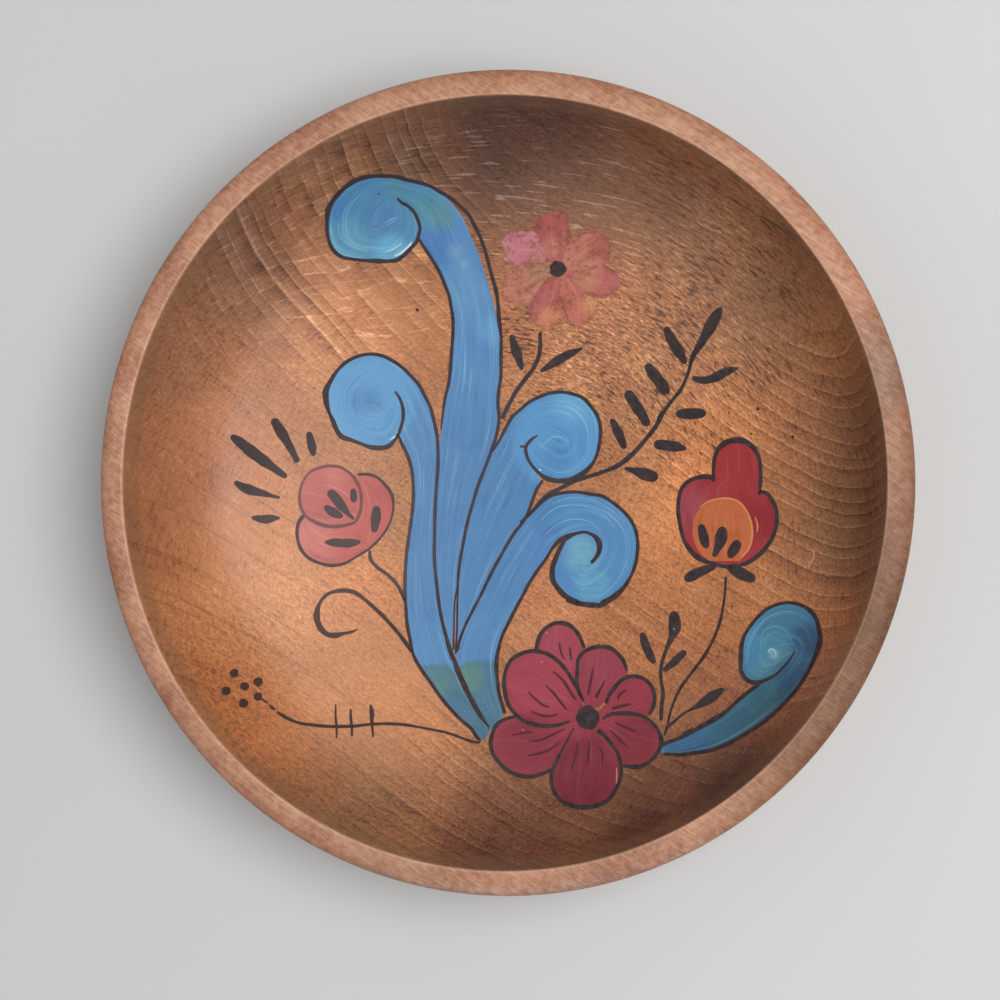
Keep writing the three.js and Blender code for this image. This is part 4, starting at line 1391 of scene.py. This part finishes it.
WORN_PETALS = [
    ([(552, 262), (541, 258), (536, 245), (534, 232), (537, 220), (546, 213.5)],
     [(568, 262), (571, 254), (571, 240), (570, 226), (566, 212), (554, 211.5)]),
    ([(545, 264), (530, 264), (520, 267), (512, 266), (505, 255), (502, 246)],
     [(545, 250), (541, 243), (535, 232), (523, 231), (509, 233), (502, 240)]),
    ([(549, 268), (536, 263), (526, 266), (512, 269), (504, 278), (502, 288)],
     [(546, 280), (540, 288), (536, 297), (529, 304), (516, 305), (505, 298)]),
    ([(550, 276), (545, 282), (538, 292), (530, 303), (528, 313), (532, 322)],
     [(566, 277), (568, 288), (569, 300), (567, 313), (560, 324), (546, 328)]),
    ([(558, 274), (559, 286), (560, 299), (562, 313), (567, 322), (576, 326)],
     [(572, 270), (584, 280), (594, 290), (599, 304), (594, 317), (584, 325)]),
    ([(566, 275), (576, 287), (587, 295), (601, 298), (612, 294), (619, 288)],
     [(566, 267), (578, 265), (592, 264), (607, 266), (618, 275), (621, 285)]),
    ([(560, 264), (565, 250), (570, 240), (577, 232), (591, 230), (603, 234)],
     [(566, 272), (579, 271), (593, 270), (605, 266), (611, 254), (609, 240)]),
]
WORN_CENTRE = (557.9, 269, 8.2)


# The painted pieces

FILL = 0.05 * MM
THIN_FILL = 0.03 * MM
LINE = 0.14 * MM
OVER = 0.01 * MM  # how much higher paint lies where it overlaps other paint
LINE_WIDTH = 4  # pixels, as the widths of thin lines are
THIN_LINES = {"scroll_outlines": 3.6, "tulip_stem": 3, "bud_stem": 3.5, "dot_flower_line": 3}
CELL = 1.1 * MM
SPOT_STEPS = 12


def cells_for(rungs):
    """Cells across a shape, by its widest rung."""
    widest = max((a.xy - b.xy).length for a, b in rungs)
    return max(2, math.ceil(widest / CELL))


def fill(name, *stretches):
    rungs = edge_rungs(*stretches)
    return painted_shape(name, rungs, cells_for(rungs))


def spot(name, centre):
    """A round touch of the brush, a little uneven."""
    x, y, radius = centre
    left, right = [], []
    for index in range(SPOT_STEPS + 1):
        angle = math.pi * index / SPOT_STEPS
        wobble = radius * (1 + 0.05 * math.sin(3 * angle + x) + 0.04 * math.sin(7 * angle + y))
        other = radius * (1 + 0.05 * math.sin(3 * angle + y) + 0.04 * math.sin(5 * angle + x))
        left.append((x - wobble * math.cos(angle), y - wobble * math.sin(angle)))
        right.append((x - wobble * math.cos(angle), y + other * math.sin(angle)))
    return fill(name, (left, right))


def paint_area(name, stretches, thickness, finish):
    """A filled area, as stretches between two edges."""
    laid_on_bowl(name, [fill(name, *stretches)], thickness, finish)


def paint_lines(name, strokes, thickness, finish, width=LINE_WIDTH):
    """Strokes of the brush, whose width in pixels holds where a point gives none."""
    lines = [painted_shape(name, stroke_rungs(points, width), 2) for points in strokes]
    laid_on_bowl(name, lines, thickness, finish)


def paint_spots(name, centres, thickness, finish):
    laid_on_bowl(name, [spot(name, centre) for centre in centres], thickness, finish)


# Spots of other colours in the paint: pixel, reach, blur, colour and share.
BLUE_SPOTS = [
    ((455, 520), 110, 40, rgb(76, 126, 173), 0.8),
    ((372, 216), 60, 6, rgb(76, 134, 170), 0.9),
    ((346, 242), 26, 14, rgb(94, 158, 182), 0.6),
    ((380, 218), 18, 12, rgb(74, 122, 168), 0.8),
    ((392, 252), 16, 8, rgb(106, 178, 206), 0.7),
    ((331, 208), 14, 12, rgb(66, 114, 172), 0.7),
    ((400, 190), 12, 8, rgb(80, 134, 140), 0.5),
    ((432, 208), 17, 10, rgb(84, 142, 150), 0.7),
    ((443, 218), 10, 6, rgb(94, 142, 146), 0.6),
    ((432, 252), 22, 9, rgb(68, 116, 174), 0.7),
    ((455, 252), 7, 6, rgb(132, 166, 192), 0.4),
    ((464, 264), 5, 4, rgb(142, 174, 198), 0.4),
    ((462, 340), 28, 16, rgb(82, 132, 184), 0.7),
    ((466, 292), 24, 18, rgb(104, 154, 190), 0.6),
    ((493, 330), 14, 10, rgb(104, 160, 202), 0.6),
    ((362, 398), 54, 6, rgb(92, 154, 198), 0.8),
    ((366, 403), 15, 10, rgb(80, 132, 182), 0.8),
    ((560, 440), 48, 6, rgb(88, 150, 198), 0.8),
    ((556, 457), 15, 9, rgb(78, 132, 182), 0.8),
    ((572, 404), 18, 10, rgb(108, 168, 206), 0.6),
    ((592, 550), 54, 8, rgb(80, 136, 184), 0.7),
    ((580, 552), 17, 10, rgb(112, 168, 188), 0.8),
    ((592, 584), 16, 8, rgb(106, 168, 190), 0.6),
    ((544, 548), 24, 10, rgb(78, 124, 182), 0.6),
    ((434, 704), 40, 3, rgb(76, 116, 138), 0.9),
    ((478, 706), 44, 3, rgb(74, 114, 136), 0.9),
    ((438, 682), 15, 7, rgb(84, 126, 128), 0.8),
    ((470, 678), 14, 6, rgb(90, 130, 124), 0.85),
    ((484, 732), 16, 8, rgb(64, 104, 124), 0.7),
]
DEEP_BLUE_SPOTS = [
    ((760, 640), 24, 14, rgb(78, 140, 176), 0.7),
    ((775, 622), 14, 8, rgb(66, 116, 142), 0.7),
    ((808, 640), 16, 9, rgb(50, 86, 122), 0.8),
    ((775, 650), 14, 8, rgb(78, 132, 150), 0.6),
    ((774, 654), 5, 3, rgb(134, 176, 186), 0.7),
    ((765, 672), 12, 7, rgb(88, 142, 162), 0.6),
    ((800, 684), 26, 10, rgb(50, 86, 116), 0.8),
    ((770, 712), 28, 12, rgb(52, 94, 106), 0.8),
    ((730, 732), 26, 12, rgb(56, 98, 116), 0.8),
    ((685, 746), 24, 10, rgb(60, 96, 136), 0.8),
]
CRIMSON_SPOTS = [
    ((562, 645), 26, 10, rgb(160, 66, 80), 0.9),
    ((540, 685), 34, 10, rgb(162, 64, 77), 0.8),
    ((600, 670), 22, 10, rgb(146, 62, 76), 0.8),
    ((585, 775), 36, 12, rgb(118, 40, 50), 0.9),
    ((635, 740), 26, 10, rgb(124, 44, 54), 0.8),
    ((525, 745), 30, 10, rgb(132, 48, 60), 0.8),
]
TULIP_SPOTS = [
    ((690, 510), 22, 12, rgb(158, 72, 82), 0.8),
    ((768, 520), 20, 10, rgb(138, 38, 44), 0.8),
    ((720, 574), 9, 4, rgb(180, 100, 86), 0.8),
]
CORAL_SPOTS = [
    ((312, 540), 22, 14, rgb(200, 112, 98), 0.7),
    ((320, 490), 22, 12, rgb(178, 80, 76), 0.7),
    ((336, 474), 12, 8, rgb(196, 110, 96), 0.6),
    ((380, 500), 18, 12, rgb(176, 78, 74), 0.7),
]
# Colours in the pale strokes. The first two are painted glints on raised paint edges.
PALE_AND_GLINT_SPOTS = [
    ((402, 250), 14, 4, rgb(196, 222, 224), 0.9),
    ((396, 436), 6, 3, rgb(196, 222, 224), 0.9),
    ((540, 470), 4, 2, rgb(214, 228, 230), 1.0),
    ((775, 640), 24, 4, rgb(88, 142, 146), 0.9),
    ((772, 652), 6, 3, rgb(160, 194, 198), 0.9),
]
# The colour of each worn petal, and a pixel with another colour round it
WORN_COLOURS = [
    (rgb(163, 82, 77), (553, 248), rgb(187, 114, 99)),
    (rgb(188, 114, 120), (536, 262), rgb(186, 116, 110)),
    (rgb(184, 116, 98), (540, 272), rgb(172, 126, 96)),
    (rgb(174, 94, 90), (550, 320), rgb(206, 134, 96)),
    (rgb(188, 108, 91), (595, 304), rgb(208, 147, 98)),
    (rgb(180, 98, 94), (588, 280), rgb(190, 128, 96)),
    (rgb(186, 116, 97), (602, 244), rgb(166, 90, 79)),
]
WORN_SPOT = (12, 8)  # its reach and blur
WORN_SHARE = 0.85


def paint_scrolls():
    blue = brushed_paint(
        "blue_paint", rgb(196, 208, 222), rgb(84, 134, 181), rgb(66, 88, 92), BLUE_SPOTS,
        strength=0.6, hairs=0.45,
    )
    scrolls = {
        "tall_scroll": (TALL_SCROLL_LIMB, *TALL_SCROLL_HEAD),
        "left_scroll": (LEFT_SCROLL_LIMB, *LEFT_SCROLL_HEAD),
        "upper_right_scroll": (UPPER_RIGHT_LIMB, *UPPER_RIGHT_HEAD),
        "lower_right_scroll": (LOWER_RIGHT_LIMB, *LOWER_RIGHT_HEAD),
    }
    for name, stretches in scrolls.items():
        paint_area(name, stretches, FILL, blue)
    deep_blue = brushed_paint(
        "deep_blue_paint", rgb(190, 204, 214), rgb(66, 120, 150), rgb(54, 74, 78), DEEP_BLUE_SPOTS,
        strength=0.7, hairs=0.55,
    )
    far_scroll = (FAR_SCROLL_LIMB, *FAR_SCROLL_HEAD)
    paint_area("far_right_scroll", far_scroll, FILL, deep_blue)


def paint_crimson_flower():
    crimson = brushed_paint(
        "crimson_paint", rgb(200, 180, 188), rgb(148, 54, 67), rgb(56, 42, 46), CRIMSON_SPOTS,
        streaks=6, strength=0.6, hairs=0.12,
    )
    for index, edges in enumerate(CRIMSON_PETALS):
        paint_area(f"crimson_petal_{index + 1}", [edges], FILL + OVER * index, crimson)


def paint_tulip():
    red = brushed_paint(
        "tulip_red_paint", rgb(200, 170, 174), rgb(156, 48, 52), rgb(62, 42, 44), TULIP_SPOTS,
        streaks=6, strength=0.6, hairs=0.15,
    )
    paint_area("tulip_cup", [TULIP_BODY], FILL, red)
    paint_area("tulip_top_petal", [TULIP_TOP], FILL + OVER, red)
    orange = brushed_paint(
        "orange_paint", rgb(210, 190, 180), rgb(188, 100, 58), rgb(70, 54, 40),
        streaks=6, strength=0.7, hairs=0.3,
    )
    paint_area("tulip_heart", [TULIP_DISC], FILL + 3 * OVER, orange)
    pale_orange = brushed_paint(
        "pale_orange_paint", rgb(220, 210, 200), rgb(206, 136, 84), rgb(60, 60, 60),
        streaks=3, strength=0.5,
    )
    paint_lines("tulip_heart_rings", TULIP_RINGS, FILL + 7 * OVER, pale_orange)


def paint_bud():
    coral = brushed_paint(
        "coral_paint", rgb(206, 180, 178), rgb(184, 88, 77), rgb(70, 48, 42), CORAL_SPOTS,
        streaks=5, strength=0.7, hairs=0.4,
    )
    paint_area("bud_right_petal", [BUD_RIGHT], FILL, coral)
    paint_area("bud_bottom_petal", [BUD_BOTTOM], FILL + OVER, coral)
    paint_area("bud_left_petal", [BUD_LEFT], FILL + 2 * OVER, coral)
    brown = brushed_paint(
        "brown_line_paint", rgb(200, 190, 190), rgb(104, 48, 46), rgb(50, 44, 44),
        streaks=2, strength=0.7,
    )
    paint_lines("bud_brown_line", BUD_BROWN_LINES, LINE, brown)


def paint_worn_flower():
    for index, (edges, (main, pixel, touch)) in enumerate(zip(WORN_PETALS, WORN_COLOURS)):
        name = f"worn_petal_{index + 1}"
        worn_rose = brushed_paint(
            f"{name}_paint", rgb(204, 186, 182), main, rgb(84, 66, 52),
            [(pixel, *WORN_SPOT, touch, WORN_SHARE)], streaks=7, hairs=0.2, wear=0.8,
        )
        paint_area(name, [edges], THIN_FILL + OVER * index, worn_rose)


# Pale blue brush strokes, and painted glints where raised paint edges catch the light
def paint_pale_strokes_and_glints():
    pale_blue = brushed_paint(
        "pale_blue_paint_and_glints", rgb(220, 226, 230), rgb(116, 172, 198), rgb(60, 60, 60), PALE_AND_GLINT_SPOTS,
        streaks=2, strength=0.6,
    )
    paint_lines("pale_strokes_and_glints", PALE_STROKES_AND_GLINTS, FILL + 2 * OVER, pale_blue)


def paint_black_work(black):
    """Outlines, stems, leaves and seeds."""
    black_work = {
        "scroll_outlines": SCROLL_OUTLINES,
        "leafy_branch": LEAFY_BRANCH,
        "small_sprig": SMALL_SPRIG,
        "sprig_by_tulip": SPRIG_BY_TULIP,
        "tulip_stem": TULIP_STEM,
        "tendril": TENDRIL,
        "bud_stem": BUD_STEM,
        "bud_rays": RAYS,
        "dot_flower_line": DOT_FLOWER,
        "crimson_outline": CRIMSON_LINES,
        "tulip_outline": TULIP_LINES,
        "tulip_seeds": TULIP_SEEDS,
        "bud_outline": BUD_BLACK_LINES,
    }
    for name, strokes in black_work.items():
        width = THIN_LINES.get(name, LINE_WIDTH)
        paint_lines(name, strokes, LINE, black, width)


def paint_veins():
    vein = brushed_paint(
        "vein_paint", rgb(200, 190, 190), rgb(84, 30, 40), rgb(40, 36, 38),
        streaks=2, strength=0.6,
    )
    paint_lines("crimson_veins", CRIMSON_VEINS, LINE, vein)


def mark_use(black):
    """Scratches that bare the wood, and pits that have filled with dark dirt."""
    scratched = Finish("scratched_varnish", base_color=rgb(184, 140, 104), roughness=0.6).material
    paint_lines("scratches", SCRATCHES, LINE + 2 * OVER, scratched)
    paint_lines("pits", PITS, LINE - 2 * OVER, black)


paint_scrolls()
paint_crimson_flower()
paint_tulip()
paint_bud()
paint_worn_flower()
paint_pale_strokes_and_glints()
liner_black = liner()
paint_black_work(liner_black)
paint_veins()
paint_spots("flower_hearts", (CRIMSON_CENTRE, WORN_CENTRE), LINE + 3 * OVER, liner_black)
paint_spots("flower_dots", DOTS, LINE, liner_black)
mark_use(liner_black)

bowl.data.materials.clear()
bowl.data.materials.append(beech())

# Floor and light

FLOOR_SIZE = 6
WINDOW_PLACE = Vector((0.46, 0.04, 1.12))
WINDOW_TARGET = Vector((0, 0, 0.03))
WINDOW_SIZE = 0.6
WINDOW_POWER = 10.4
ROOM_COLOUR = (0.95, 0.97, 1.0, 1)
ROOM_STRENGTH = 0.42


def pale_floor():
    nothing_selected()
    bpy.ops.mesh.primitive_plane_add(size=FLOOR_SIZE, location=(0, 0, 0))
    floor = bpy.context.object
    floor.name = "floor"
    finish = Finish("pale_floor", roughness=0.8, specular_ior_level=0.2)
    cloud = finish.noise(finish.place(), 0.004)
    finish.connect("Base Color", finish.mix(cloud, rgb(205, 205, 203), rgb(214, 214, 212)))
    floor.data.materials.append(finish.material)


def soft_window():
    nothing_selected()
    bpy.ops.object.light_add(type="AREA", location=WINDOW_PLACE)
    light = bpy.context.object
    light.name = "soft_window"
    light.rotation_euler = (WINDOW_TARGET - WINDOW_PLACE).to_track_quat("-Z", "Y").to_euler()
    light.data.shape = "DISK"
    light.data.size = WINDOW_SIZE
    light.data.energy = WINDOW_POWER


def room_light():
    world = bpy.data.worlds.new("room")
    world.use_nodes = True
    background = world.node_tree.nodes["Background"]
    background.inputs["Color"].default_value = ROOM_COLOUR
    background.inputs["Strength"].default_value = ROOM_STRENGTH
    bpy.context.scene.world = world


pale_floor()
soft_window()
room_light()
bpy.context.scene.view_settings.view_transform = "Standard"

# Finish

nothing_selected()
